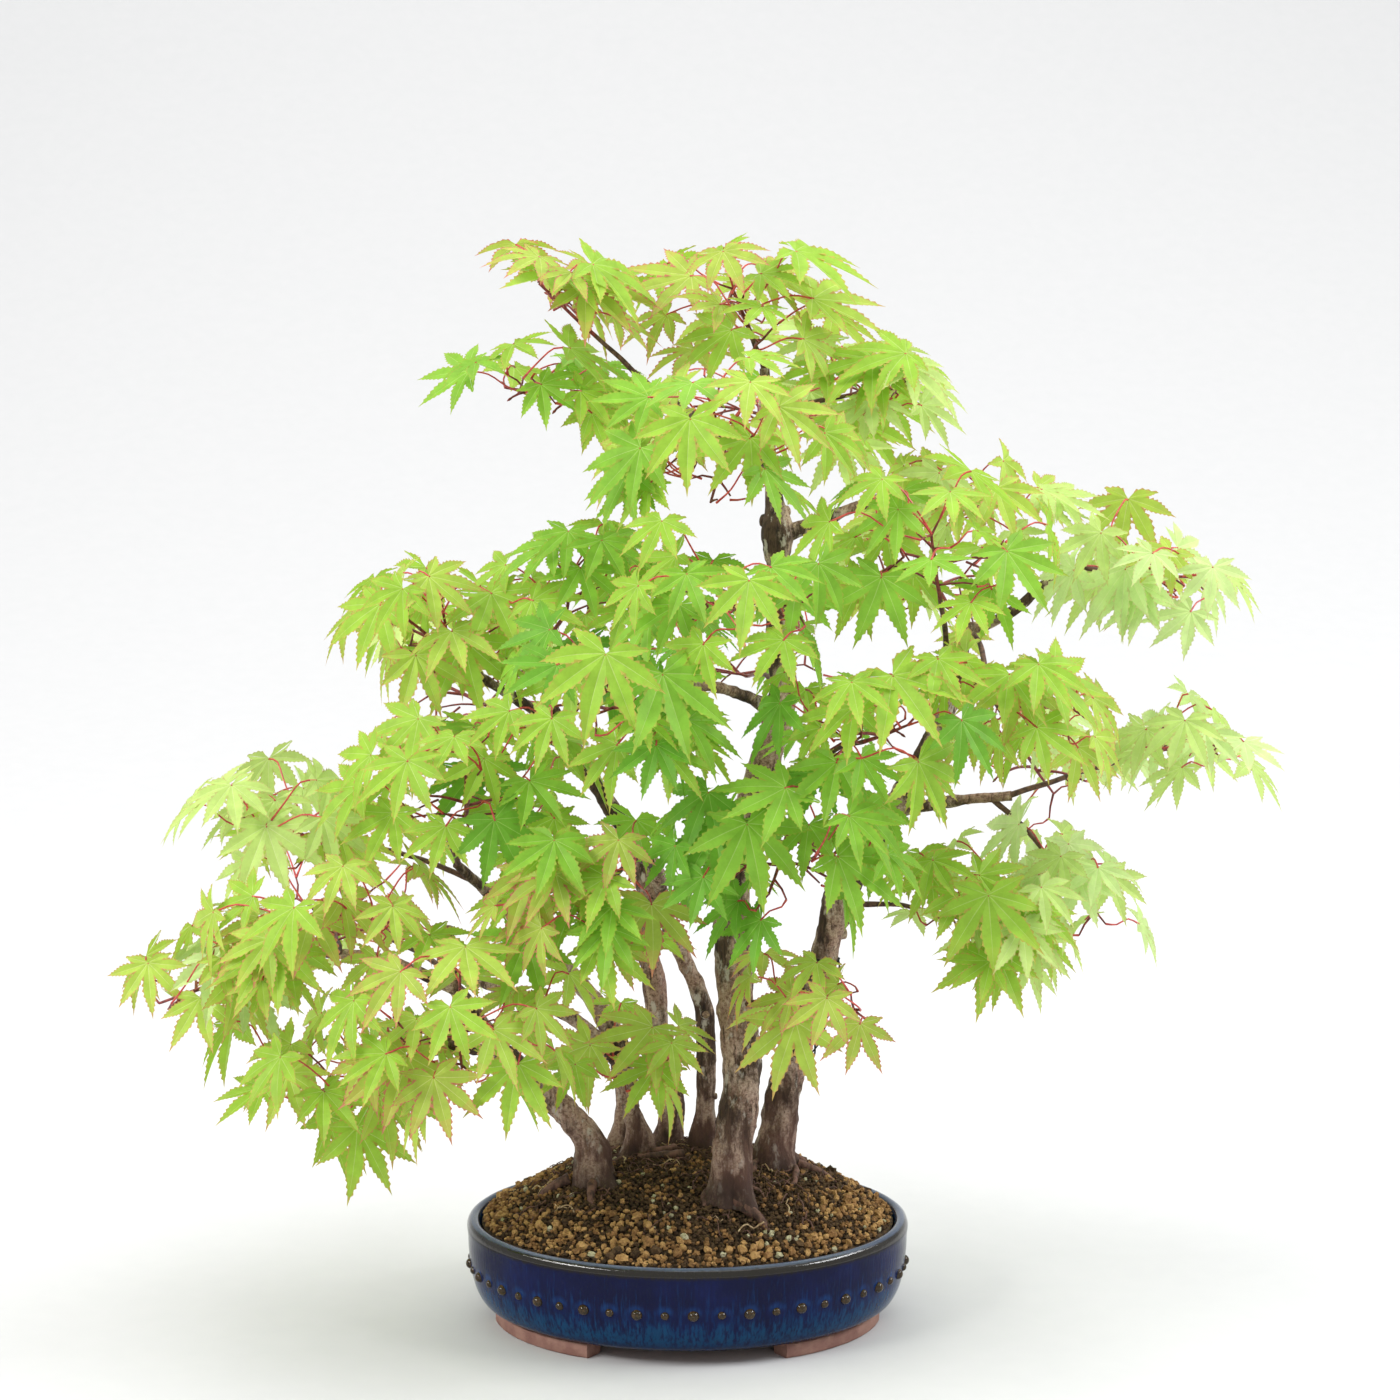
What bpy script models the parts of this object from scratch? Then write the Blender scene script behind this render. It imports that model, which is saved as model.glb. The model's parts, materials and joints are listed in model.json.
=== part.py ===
"""Japanese maple bonsai: a clump of six stems in an oval glazed pot.

Metres, +Z up, +X towards the right-hand side of the tree and -Y towards its front.
The origin is the middle of the pot's underside, at the height of the table it stands on.
The tables of limbs and sprays give places in millimetres, which MM turns into metres.
"""
import math
import random

import bmesh
import bpy
from mathutils import Matrix, Vector
from mathutils.bvhtree import BVHTree

MM = 0.001
GAP = 0.0003                    # between two pieces that touch

# ---------------------------------------------------------------- pot and soil
POT_LENGTH = 0.218              # over the lip, along X
POT_WIDTH = 0.178               # over the lip, along Y
OVAL = POT_WIDTH / POT_LENGTH   # turned shapes are narrowed by this along Y
FOOT_HEIGHT = 0.0075
LIP_HEIGHT = 0.047              # height of the widest edge
WALL = 0.0065
POT_STEPS = 40                  # facets round the pot
WELD = 0.00005                  # points this close become one where the turned shape closes

# Each profile lists (how far inside the widest edge, how far up), from the pot's middle outwards.
# The wall's heights count from the bowl's underside and the lip's from the widest edge.
WALL_OUTSIDE = [(0.0135, 0.0), (0.0075, 0.003), (0.004, 0.009), (0.001, 0.022)]
LIP = [(0.0, 0.0), (0.0018, 0.0032), (0.0040, 0.0040), (0.0062, 0.0026)]
WALL_INSIDE = [(0.012, 0.0), (0.004, 0.006), (0.001, 0.018)]      # from the inside of the wall
LIP_INSIDE = 0.0006             # the wall's inside leans in by this at the widest edge

RIVETS = 50                     # one row of alternating large and small studs
RIVET_HEIGHT = 0.028
RIVET_LARGE = 0.0028
RIVET_SMALL = 0.0021
RIVET_START = 0.73              # the first stands this share of a spacing round from the X axis
RIVET_SEAT = 0.0012             # their middles lie this far inside the widest edge
RIVET_SEGMENTS = 5
RIVET_RINGS = 4

FOOT_ARC = (8.0, 60.0)          # each foot's stretch of the oval, in degrees from the X axis
FOOT_OUTER = 0.096              # half lengths of the oval ring that the feet are cut from
FOOT_INNER = 0.083
FOOT_POINTS = 7                 # along each side of a foot

SOIL_EDGE = 0.0472              # height of the soil where it meets the wall
SOIL_RISE = 0.031               # the mound's height above that
SOIL_POWER = 2.5                # a dome with a broad top
SOIL_LEAN = 0.4                 # the mound's top lies this share of its rise towards the back
SOIL_RINGS = (0.9, 0.76, 0.56, 0.3)     # the dome's rings, as shares of its radius
SOIL_ROUNDS = 4                 # steps in which the height over a point settles
TRUNK_SINK = 0.003              # the flat cut under a trunk lies this far under the soil's face
TRUNK_SPARE = 0.006             # a trunk is swept this far below its flat cut before it is cut

# ---------------------------------------------------------------- limbs
TRUNK_SIDES = 8
BOUGH_SIDES = 6
TWIG_SIDES = 3
PATH_STEP = 0.016               # spacing of the rings along a trunk or bough
FLARE_HEIGHT = 0.010            # the root flare dies away over this height
KNUCKLE_LENGTH = 0.009          # half length of the swelling at a knuckle
SHARP_ANGLE = 40.0              # edges sharper than this stay sharp, in degrees

# Each limb: its parent, its path, its radius at foot and tip, how the taper bends, the extra
# radius of its root flare and its knuckles as (height, extra radius). All in millimetres.
TRUNKS = {
    "trunk_main": dict(
        path=[(20, -36), (23, -35, 100), (26, -33, 132), (23, -30, 173), (22, -26, 225),
              (35, -20, 274), (45, -16, 310), (44, -12, 356), (43, -8, 391), (38, -4, 440),
              (37, -2, 468)],
        foot=9.0, tip=2.5, power=2.0, flare=2.0, knuckles=[(389, 2.6)]),
    "trunk_right": dict(
        path=[(42, 9), (46, 9, 103), (53, 8, 130), (61, 7, 158), (68, 6, 185), (77, 5, 213),
              (92, 3, 241), (113, 2, 277), (129, 0, 314), (134, -4, 346)],
        foot=8.4, tip=2.7, power=1.3, flare=4.5, knuckles=[(207, 2.0), (345, 0.8)]),
    "trunk_slim": dict(
        path=[(8, 24), (9, 25, 98), (9, 25, 139), (6, 24, 155), (-1, 22, 173), (-9, 10, 192),
              (-12, -8, 214), (-16, -28, 232)],
        foot=5.2, tip=2.4, power=1.4, flare=2.0, knuckles=[]),
    "trunk_middle": dict(
        path=[(-11, 34), (-8, 35, 102), (-14, 36, 128), (-17, 36, 164), (-21, 35, 180),
              (-18, 33, 208), (-27, 31, 232), (-45, 27, 262), (-60, 22, 288), (-69, 16, 306)],
        foot=5.8, tip=3.0, power=1.8, flare=2.5, knuckles=[(213, 2.8)]),
    "trunk_forked": dict(
        path=[(-34, 39), (-30, 40, 98), (-33, 40, 114), (-36, 40, 128), (-37, 40, 134)],
        foot=5.6, tip=5.4, power=1.0, flare=2.5, knuckles=[]),
    "trunk_low": dict(
        path=[(-43, -12), (-48, -12, 92), (-58, -14, 106), (-68, -18, 117), (-88, -28, 140),
              (-104, -40, 165), (-115, -50, 188), (-112, -56, 208)],
        foot=7.2, tip=2.5, power=1.0, flare=3.6, knuckles=[]),
    "root_stump": dict(
        path=[(-26, 15), (-25, 14, 88), (-29, 12, 104)],
        foot=6.5, tip=3.4, power=1.0, flare=2.5, knuckles=[]),
}

BOUGHS = {
    "bough_crown_left": dict(
        parent="trunk_main", path=[(38, -5, 424), (14, -10, 440), (-12, -14, 455)],
        foot=2.6, tip=2.3),
    "bough_crown_right": dict(
        parent="trunk_main", path=[(43, -9, 388), (66, -6, 397), (92, 0, 406)],
        foot=3.8, tip=2.3),
    "bough_centre_left": dict(
        parent="trunk_main", path=[(44, -16, 305), (22, -38, 318), (2, -62, 326)],
        foot=3.0, tip=2.3),
    "bough_centre_right": dict(
        parent="trunk_main", path=[(31, -22, 262), (50, -48, 278), (64, -68, 292)],
        foot=3.2, tip=2.3),
    "bough_right_tip": dict(
        parent="trunk_right",
        path=[(134, -4, 343), (144, -6, 346), (157, -8, 353), (170, -9, 365), (180, -9, 371)],
        foot=2.6, tip=2.3),
    "bough_right_low": dict(
        parent="trunk_right", path=[(98, 3, 252), (126, -10, 260), (156, -16, 264)],
        foot=3.2, tip=2.3),
    "bough_right_front": dict(
        parent="trunk_right", path=[(123, 1, 300), (124, -26, 316), (122, -52, 334)],
        foot=2.8, tip=2.3),
    "bough_right_back": dict(
        parent="trunk_right", path=[(118, 2, 288), (134, 34, 304), (150, 66, 314)],
        foot=3.0, tip=2.3),
    "bough_left_high": dict(
        parent="trunk_middle", path=[(-63, 21, 292), (-84, 8, 308), (-104, -2, 322)],
        foot=2.8, tip=2.3),
    "bough_left_back": dict(
        parent="trunk_middle", path=[(-50, 26, 270), (-66, 46, 280), (-84, 68, 286)],
        foot=3.0, tip=2.3),
    "bough_fork_upper": dict(
        parent="trunk_forked",
        path=[(-36, 40, 130), (-46, 41, 147), (-54, 41, 157), (-68, 36, 175), (-90, 16, 202),
              (-112, -4, 228)],
        foot=5.0, tip=2.2),
    "bough_fork_lower": dict(
        parent="trunk_forked",
        path=[(-34, 40, 118), (-46, 32, 132), (-56, 28, 142), (-74, 24, 152), (-96, 28, 159),
              (-120, 42, 164)],
        foot=3.8, tip=2.3),
    "bough_low_far": dict(
        parent="trunk_low", path=[(-110, -46, 176), (-146, -42, 190), (-184, -36, 192)],
        foot=2.6, tip=2.3),
    "bough_low_front": dict(
        parent="trunk_low", path=[(-88, -28, 140), (-100, -52, 148), (-110, -74, 156)],
        foot=3.0, tip=2.3),
}

# ---------------------------------------------------------------- foliage
# Each spray: the limb that carries it, how far along that limb its stem springs (0 foot,
# 1 tip), the middle and half sizes of its own space, and how many leaves it may hold.
SPRAYS = {
    "leaves_crown_top": ("trunk_main", 1.0, (28, -4, 490), (62, 56, 41), 7),
    "leaves_crown_left": ("bough_crown_left", 1.0, (-58, -24, 499), (54, 50, 32), 6),
    "leaves_crown_left_low": ("bough_crown_left", 0.78, (-66, 0, 456), (54, 50, 36), 5),
    "leaves_crown_right": ("trunk_main", 0.94, (92, 2, 459), (53, 54, 42), 7),
    "leaves_crown_front": ("trunk_main", 0.90, (13, -80, 434), (60, 56, 46), 8),
    "leaves_crown_back": ("trunk_main", 0.88, (36, 88, 440), (74, 62, 54), 7),
    "leaves_shoulder_right": ("bough_crown_right", 1.0, (146, 10, 402), (54, 52, 38), 6),
    "leaves_shoulder_front": ("bough_right_front", 1.0, (113, -92, 385), (59, 56, 45), 7),
    "leaves_shoulder_back": ("bough_right_back", 1.0, (128, 100, 350), (64, 58, 52), 6),
    "leaves_right_tip": ("bough_right_tip", 1.0, (220, -14, 370), (52, 54, 44), 7),
    "leaves_right_mid": ("bough_right_front", 0.80, (160, -72, 314), (56, 54, 46), 6),
    "leaves_right_far": ("bough_right_low", 1.0, (242, -4, 288), (49, 56, 48), 6),
    "leaves_right_low": ("bough_right_low", 0.84, (189, -14, 216), (45, 52, 56), 6),
    "leaves_right_hanging": ("trunk_right", 0.47, (141, -50, 210), (48, 52, 58), 7),
    "leaves_right_back": ("bough_right_back", 0.80, (178, 92, 258), (62, 60, 52), 6),
    "leaves_centre_high": ("trunk_main", 0.76, (24, -112, 369), (58, 56, 48), 7),
    "leaves_centre_right": ("bough_centre_right", 1.0, (88, -104, 308), (58, 56, 50), 7),
    "leaves_centre_left": ("bough_centre_left", 1.0, (-34, -112, 322), (60, 56, 54), 7),
    "leaves_centre_low": ("bough_centre_right", 0.76, (42, -112, 251), (60, 54, 48), 7),
    "leaves_centre_back": ("trunk_main", 0.62, (28, 98, 306), (78, 62, 68), 7),
    "leaves_left_high": ("bough_left_high", 1.0, (-121, -20, 340), (66, 58, 41), 8),
    "leaves_left_inner": ("trunk_middle", 1.0, (-56, -30, 362), (54, 52, 42), 6),
    "leaves_left_mid": ("bough_fork_upper", 1.0, (-102, -70, 270), (62, 58, 46), 8),
    "leaves_left_far": ("bough_fork_upper", 0.88, (-194, -8, 246), (62, 58, 43), 7),
    "leaves_left_front": ("trunk_slim", 1.0, (-46, -102, 230), (58, 52, 54), 7),
    "leaves_low_far": ("bough_low_far", 1.0, (-234, -34, 173), (57, 58, 38), 6),
    "leaves_low_mid": ("bough_low_far", 0.76, (-163, -82, 211), (60, 56, 46), 7),
    "leaves_low_front": ("bough_low_front", 1.0, (-103, -116, 173), (58, 58, 58), 8),
    "leaves_low_hanging": ("bough_low_front", 0.74, (-166, -62, 133), (56, 56, 54), 7),
    "leaves_left_back": ("bough_left_back", 1.0, (-116, 98, 296), (80, 62, 62), 7),
    "leaves_low_back": ("bough_fork_lower", 1.0, (-180, 84, 182), (78, 62, 62), 7),
    "leaves_front_spray": ("trunk_main", 0.24, (71, -90, 177), (51, 48, 43), 5),
    "leaves_front_small": ("trunk_slim", 0.30, (-27, -50, 136), (42, 44, 44), 3),
}

STEM_RADIUS = 0.0017            # a spray's stem where it leaves its limb
STEM_TIP = 0.0014
SHOOT_RADIUS = 0.0009
SHOOT_GUARD = 0.0015            # a side shoot is left out where a rod this thick would touch
STEM_STEP = 0.024               # spacing of the rings along a stem
STEM_START = 0.002              # a stem starts this far inside its bough's tip before it is cut clear
STEM_SWEEP = 0.16               # how strongly a stem's bend carries on from the way its bough ran
STEM_LIFT = 0.05                # its bend lies this share of its length above the straight line
PAIR_OFFSET = 0.0015            # the two shoots of a pair leave the stem this far apart
SIDE_SLANT = (0.15, 0.45)       # how far side shoots lean the way the stem runs
STEM_INSET = 0.28               # the stem's first node lies this share of the space short of its middle
LEADER_REACH = 0.40             # the leading shoot ends this share of the space past its middle
SIDE_REACH = 0.48               # side shoots end at this share of the space

LEAF_LENGTH = (0.034, 0.045)    # from the leaf stalk to the tip of the middle lobe
LEAF_THICK = 0.0013
STALK_LENGTH = (0.008, 0.044)
STALK_RADIUS = 0.0006           # where it meets the blade
STALK_ROOT = 0.00042            # where it leaves its shoot, sunk to the shoot's middle
LEAF_DROOP = (22.0, 58.0)       # how far below the level the middle lobe points, in degrees
TOWARDS_LIGHT = 0.75            # how far blades turn to the nearer of the front and the back
BLADE_DROP = 0.14               # how far the lobes hang below the middle of the blade
LOBES = [(0, 1.0), (24, 0.40), (49, 0.88), (75, 0.34), (103, 0.56)]   # (angle, length) each side
NOTCH = 0.06                    # the stalk meets the blade this share of its length behind its middle
TIP_REACH = 1.04                # leaf tips may reach this far past the edge of the space
LEAF_CLEAR = 1.06               # a leaf's test shape is this much larger than the leaf
LEAF_GUARD = 0.0030             # and this thick
LEAF_TRIES = 700
TWO_PAIRS = 8                   # a spray of this many leaves has two pairs of side shoots
STALK_SPACING = 0.0030          # stalks leave a shoot at places this far apart
STALK_PLACES = 3
LIMB_CLEAR = 0.001              # foliage keeps this far from every limb
SWING = 100.0                   # a stalk leaves its hub within this many degrees of the shoot
STALK_FREE = 0.003              # near its hub a stalk may touch its shoot
STALK_GUARD = 0.0012
STALK_BEND = 0.35               # least cosine of the angle between a stalk and its blade

STALK_RISE = (-0.5, 0.6)        # how far stalks point up or down, beside what their shoot does
RISE_FROM_SHOOT = 0.7           # the share of its shoot's rise that a stalk takes on
LEVEL_LEAST = 0.3               # a shoot steeper than this has no heading of its own
LEAF_TURN = 30.0                # a blade turns up to this far from its stalk's heading, in degrees
LEAF_TILT = 0.2                 # how far blades tilt to either side
LIGHT_SHARES = (0.4, 1.2)       # each blade takes this much of the turn towards the light
OUTWARD_TILT = 0.35             # how far blades tilt the way their stalk runs
BACK_HALF = 0.04                # foliage whose middle lies behind this turns to the back
LEAF_MIDDLE = 0.45              # the middle of a leaf, as a share of its length

# ---------------------------------------------------------------- colours
BARK = (0.23, 0.15, 0.10)
LEAF_GREEN = (0.30, 0.55, 0.05)
GLAZE_BLUE = (0.02, 0.07, 0.38)
FIRED_CLAY = (0.38, 0.20, 0.13)
SOIL_BROWN = (0.34, 0.22, 0.10)


def clear_scene():
    """Remove every object, so that the model stands alone."""
    for obj in list(bpy.data.objects):
        bpy.data.objects.remove(obj, do_unlink=True)


def new_collection(name):
    """A collection under the scene's own."""
    collection = bpy.data.collections.new(name)
    bpy.context.scene.collection.children.link(collection)
    return collection


def make_material(name, colour, roughness):
    """A plain Principled material."""
    material = bpy.data.materials.new(name)
    material.use_nodes = True
    shader = material.node_tree.nodes["Principled BSDF"]
    shader.inputs["Base Color"].default_value = (*colour, 1.0)
    shader.inputs["Roughness"].default_value = roughness
    shader.inputs["Metallic"].default_value = 0.0
    return material


def add_object(name, mesh, collection, material=None):
    """A mesh object in its collection."""
    obj = bpy.data.objects.new(name, mesh)
    collection.objects.link(obj)
    if material is not None:
        mesh.materials.clear()
        mesh.materials.append(material)
    return obj


def evaluated_mesh(obj):
    """The object's mesh with its modifiers applied, in world space."""
    graph = bpy.context.evaluated_depsgraph_get()
    mesh = bpy.data.meshes.new_from_object(obj.evaluated_get(graph))
    mesh.transform(obj.matrix_world)
    return mesh


def apply_modifiers(obj):
    """Replace the object's mesh by its evaluated one."""
    mesh = evaluated_mesh(obj)
    obj.modifiers.clear()
    obj.matrix_world = Matrix.Identity(4)
    obj.data = mesh


def hide_cutter(obj):
    """Mark a cutter, which shapes other pieces and isn't one itself."""
    obj.hide_render = True
    obj.display_type = "WIRE"


def add_boolean(obj, operation, cutter=None, collection=None):
    """A Boolean with one object or with a whole collection."""
    modifier = obj.modifiers.new(operation.title(), "BOOLEAN")
    modifier.operation = operation
    modifier.solver = "EXACT"
    if collection is None:
        modifier.object = cutter
    else:
        modifier.operand_type = "COLLECTION"
        modifier.collection = collection


# ---------------------------------------------------------------- turned shapes

def turned(name, profile, collection, material):
    """A profile of (radius, height) turned about Z and narrowed to the pot's oval."""
    bm = bmesh.new()
    verts = [bm.verts.new((radius, 0.0, height)) for radius, height in profile]
    for one, two in zip(verts, verts[1:]):
        bm.edges.new((one, two))
    mesh = bpy.data.meshes.new(name)
    bm.to_mesh(mesh)
    bm.free()
    obj = add_object(name, mesh, collection, material)
    screw = obj.modifiers.new("Turn", "SCREW")
    screw.steps = POT_STEPS
    screw.render_steps = POT_STEPS
    screw.use_merge_vertices = True
    screw.merge_threshold = WELD
    obj.scale = (1.0, OVAL, 1.0)
    bpy.context.view_layer.update()
    apply_modifiers(obj)
    close_mesh(obj.data)
    return obj


def close_mesh(mesh):
    """Weld a turned or swept mesh and point its faces outwards."""
    bm = bmesh.new()
    bm.from_mesh(mesh)
    bmesh.ops.remove_doubles(bm, verts=bm.verts, dist=WELD / 10)
    bmesh.ops.recalc_face_normals(bm, faces=bm.faces)
    bm.to_mesh(mesh)
    bm.free()


def pot_profile():
    """The bowl's section, from the axis under its floor, over the lip and back to the axis."""
    half = POT_LENGTH / 2
    outside = [(half - inset, FOOT_HEIGHT + height) for inset, height in WALL_OUTSIDE]
    lip = [(half - inset, LIP_HEIGHT + height) for inset, height in LIP]
    return [(0.0, FOOT_HEIGHT)] + outside + lip + inner_profile(0.0)[::-1]


def inner_profile(inset):
    """The inside of the wall from the floor's middle up, drawn in by `inset`."""
    half = POT_LENGTH / 2 - WALL - inset
    floor = FOOT_HEIGHT + WALL + inset
    inside = [(half - inwards, floor + height) for inwards, height in WALL_INSIDE]
    return [(0.0, floor)] + inside + [(half - LIP_INSIDE, LIP_HEIGHT)]


def soil_height(x, y):
    """Height of the soil's face over a point."""
    edge = inner_profile(GAP)[-1][0]
    height = SOIL_EDGE
    for _ in range(SOIL_ROUNDS):
        back = y - SOIL_LEAN * (height - SOIL_EDGE)
        radius = min(1.0, math.hypot(x, back / OVAL) / edge)
        height = SOIL_EDGE + SOIL_RISE * (1.0 - radius ** SOIL_POWER)
    return height


def make_pot(parts, glaze, clay):
    """The bowl with its row of studs, and four feet along the oval."""
    bowl = turned("pot", pot_profile(), parts, glaze)
    studs = new_collection("studs")
    seat = POT_LENGTH / 2 - RIVET_SEAT
    for index in range(RIVETS):
        angle = 2 * math.pi * (index + RIVET_START) / RIVETS
        x, y = math.cos(angle), math.sin(angle)
        bm = bmesh.new()
        bmesh.ops.create_uvsphere(bm, u_segments=RIVET_SEGMENTS, v_segments=RIVET_RINGS,
                                  radius=RIVET_LARGE if index % 2 else RIVET_SMALL)
        mesh = bpy.data.meshes.new("stud")
        bm.to_mesh(mesh)
        bm.free()
        stud = add_object("stud", mesh, studs, glaze)
        stud.rotation_euler = Vector((x, y / OVAL, 0.0)).to_track_quat("Z", "Y").to_euler()
        stud.location = (seat * x, seat * OVAL * y, RIVET_HEIGHT)
    add_boolean(bowl, "UNION", collection=studs)
    bpy.context.view_layer.update()
    apply_modifiers(bowl)
    remove_collection(studs)
    for front, side in ((-1, -1), (-1, 1), (1, -1), (1, 1)):
        make_foot(front, side, parts, clay)


def oval_arc(half_length, angles):
    """Points at the given angles of an oval ring round the pot's axis."""
    return [(half_length * math.cos(angle), half_length * OVAL * math.sin(angle)) for angle in angles]


def make_foot(front, side, parts, clay):
    """One foot: a stretch of an oval ring under a quarter of the pot."""
    start, end = FOOT_ARC
    turn = (end - start) / (FOOT_POINTS - 1)
    angles = [math.radians(start + turn * step) for step in range(FOOT_POINTS)]
    outline = oval_arc(FOOT_OUTER, angles) + oval_arc(FOOT_INNER, angles[::-1])
    bm = bmesh.new()
    face = bm.faces.new([bm.verts.new((side * x, front * y, 0.0)) for x, y in outline])
    grown = bmesh.ops.extrude_face_region(bm, geom=[face])
    top = [item for item in grown["geom"] if isinstance(item, bmesh.types.BMVert)]
    bmesh.ops.translate(bm, verts=top, vec=(0.0, 0.0, FOOT_HEIGHT - GAP))
    bmesh.ops.recalc_face_normals(bm, faces=bm.faces)
    name = f"pot_foot_{'front' if front < 0 else 'back'}_{'left' if side < 0 else 'right'}"
    mesh = bpy.data.meshes.new(name)
    bm.to_mesh(mesh)
    bm.free()
    add_object(name, mesh, parts, clay)


def make_soil(parts, material):
    """The filled inside of the pot with its mound, which leans a little to the back."""
    inner = inner_profile(GAP)
    edge = inner[-1][0]
    dome = [(edge * ring, SOIL_EDGE + SOIL_RISE * (1.0 - ring ** SOIL_POWER)) for ring in SOIL_RINGS]
    profile = inner[:-1] + [(edge, SOIL_EDGE)] + dome + [(0.0, SOIL_EDGE + SOIL_RISE)]
    soil = turned("soil", profile, parts, material)
    for vert in soil.data.vertices:
        rise = max(0.0, vert.co.z - SOIL_EDGE)
        vert.co.y += SOIL_LEAN * rise
    return soil


# ---------------------------------------------------------------- limbs

def smooth_path(points, step):
    """Points every `step` along a smooth curve through the given ones."""
    ends = [points[0] * 2 - points[1]] + points + [points[-1] * 2 - points[-2]]
    fine = []
    for before, one, two, after in zip(ends, ends[1:], ends[2:], ends[3:]):
        count = max(1, round((two - one).length / step))
        for index in range(count):
            t = index / count
            fine.append(0.5 * (2 * one + (two - before) * t
                               + (2 * before - 5 * one + 4 * two - after) * t * t
                               + (3 * one - before - 3 * two + after) * t ** 3))
    return fine + [points[-1]]


def shares_along(points):
    """How far along a path each of its points lies, from 0 to 1."""
    lengths = [0.0]
    for one, two in zip(points, points[1:]):
        lengths.append(lengths[-1] + (two - one).length)
    return [length / lengths[-1] for length in lengths]


def section_curve(sides):
    """A closed polygon of radius 1, the section of swept limbs."""
    curve = bpy.data.curves.new("section", "CURVE")
    curve.dimensions = "2D"
    spline = curve.splines.new("POLY")
    spline.points.add(sides - 1)
    for index, point in enumerate(spline.points):
        angle = 2 * math.pi * index / sides
        point.co = (math.cos(angle), math.sin(angle), 0.0, 1.0)
    spline.use_cyclic_u = True
    return bpy.data.objects.new("section", curve)


def swept_mesh(name, points, radii, sides):
    """A closed tube along the points with its own radius at each."""
    curve = bpy.data.curves.new(name, "CURVE")
    curve.dimensions = "3D"
    curve.use_fill_caps = True
    section = section_curve(sides)
    bpy.context.scene.collection.objects.link(section)
    curve.bevel_mode = "OBJECT"
    curve.bevel_object = section
    spline = curve.splines.new("POLY")
    spline.points.add(len(points) - 1)
    for point, place, radius in zip(spline.points, points, radii):
        point.co = (*place, 1.0)
        point.radius = radius
    obj = bpy.data.objects.new(name, curve)
    bpy.context.scene.collection.objects.link(obj)
    bpy.context.view_layer.update()
    mesh = evaluated_mesh(obj)
    bpy.data.objects.remove(obj, do_unlink=True)
    bpy.data.objects.remove(section, do_unlink=True)
    close_mesh(mesh)
    return mesh


class Limb:
    """A trunk or a bough: a tapering path, which its parent and its sprays are fitted to."""

    def __init__(self, name, path, foot, tip, power=1.0, flare=0.0, knuckles=(), parent=None):
        points = [Vector(place if len(place) == 3 else (*place, 0.0)) * MM for place in path]
        self.name = name
        self.parent = parent
        self.ground = None
        self.sides = BOUGH_SIDES if parent else TRUNK_SIDES
        if parent is None:
            self.ground = soil_height(points[0].x, points[0].y) - TRUNK_SINK
            points[0].z = self.ground
        self.points = smooth_path(points, PATH_STEP)
        self.shares = shares_along(self.points)
        self.radii = []
        for share, point in zip(self.shares, self.points):
            radius = tip + (foot - tip) * (1.0 - share ** power)
            if self.ground is not None:
                radius += flare * math.exp(-(point.z - self.ground) / FLARE_HEIGHT)
            for height, extra in knuckles:
                radius += extra * math.exp(-((point.z - height * MM) / KNUCKLE_LENGTH) ** 2)
            self.radii.append(radius * MM)

    def at(self, share):
        """The point, direction and radius at a share of the limb's length."""
        for index in range(1, len(self.points)):
            if self.shares[index] >= share:
                break
        one, two = self.points[index - 1], self.points[index]
        t = (share - self.shares[index - 1]) / (self.shares[index] - self.shares[index - 1])
        radius = self.radii[index - 1] * (1 - t) + self.radii[index] * t
        return one.lerp(two, t), (two - one).normalized(), radius

    def mesh(self, grow=0.0):
        """The limb's mesh, or the same grown by a clearance all round."""
        points = list(self.points)
        first = (points[1] - points[0]).normalized()
        last = (points[-1] - points[-2]).normalized()
        if self.ground is not None:
            points[0] = points[0] - first * TRUNK_SPARE
        else:
            points[0] = points[0] - first * grow
        points[-1] = points[-1] + last * grow
        mesh = swept_mesh(self.name, points, [radius + grow for radius in self.radii], self.sides)
        if self.ground is not None:
            cut_level(mesh, self.ground - grow)
        return mesh


def cut_level(mesh, height):
    """Cut a mesh flat at a height and close it there."""
    bm = bmesh.new()
    bm.from_mesh(mesh)
    geometry = bm.verts[:] + bm.edges[:] + bm.faces[:]
    cut = bmesh.ops.bisect_plane(bm, geom=geometry, plane_co=(0, 0, height), plane_no=(0, 0, 1),
                                 clear_inner=True)
    rim = [item for item in cut["geom_cut"] if isinstance(item, bmesh.types.BMEdge)]
    bmesh.ops.contextual_create(bm, geom=rim)
    bmesh.ops.recalc_face_normals(bm, faces=bm.faces)
    bm.to_mesh(mesh)
    bm.free()


def make_limbs(parts, cutters, soil, material):
    """Every trunk and bough, each cut clear of the one that carries it."""
    limbs = {}
    guards = {}
    for table in (TRUNKS, BOUGHS):
        for name, sizes in table.items():
            limb = Limb(name, **sizes)
            limbs[name] = limb
            obj = add_object(name, limb.mesh(), parts, material)
            guard = add_object(f"guard_{name}", limb.mesh(GAP), cutters)
            hide_cutter(guard)
            guards[name] = guard
            if limb.parent:
                add_boolean(obj, "DIFFERENCE", cutter=guards[limb.parent])
                apply_modifiers(obj)
            else:
                add_boolean(soil, "DIFFERENCE", cutter=guard)
            shade(obj)
    apply_modifiers(soil)
    return limbs, guards


def shade(obj):
    """Round pieces look smooth, sharp edges stay."""
    obj.data.shade_smooth()
    obj.data.set_sharp_from_angle(angle=math.radians(SHARP_ANGLE))


# ---------------------------------------------------------------- foliage

def leaf_outline():
    """The lobes' tips and notches about the stalk's end, for a leaf of unit length."""
    left = [(-angle, length) for angle, length in LOBES[:0:-1]]
    points = []
    for angle, length in left + LOBES:
        turn = math.radians(angle)
        drop = BLADE_DROP * length ** 2
        points.append(Vector((length * math.sin(turn), length * math.cos(turn), -drop)))
    return points


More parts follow.
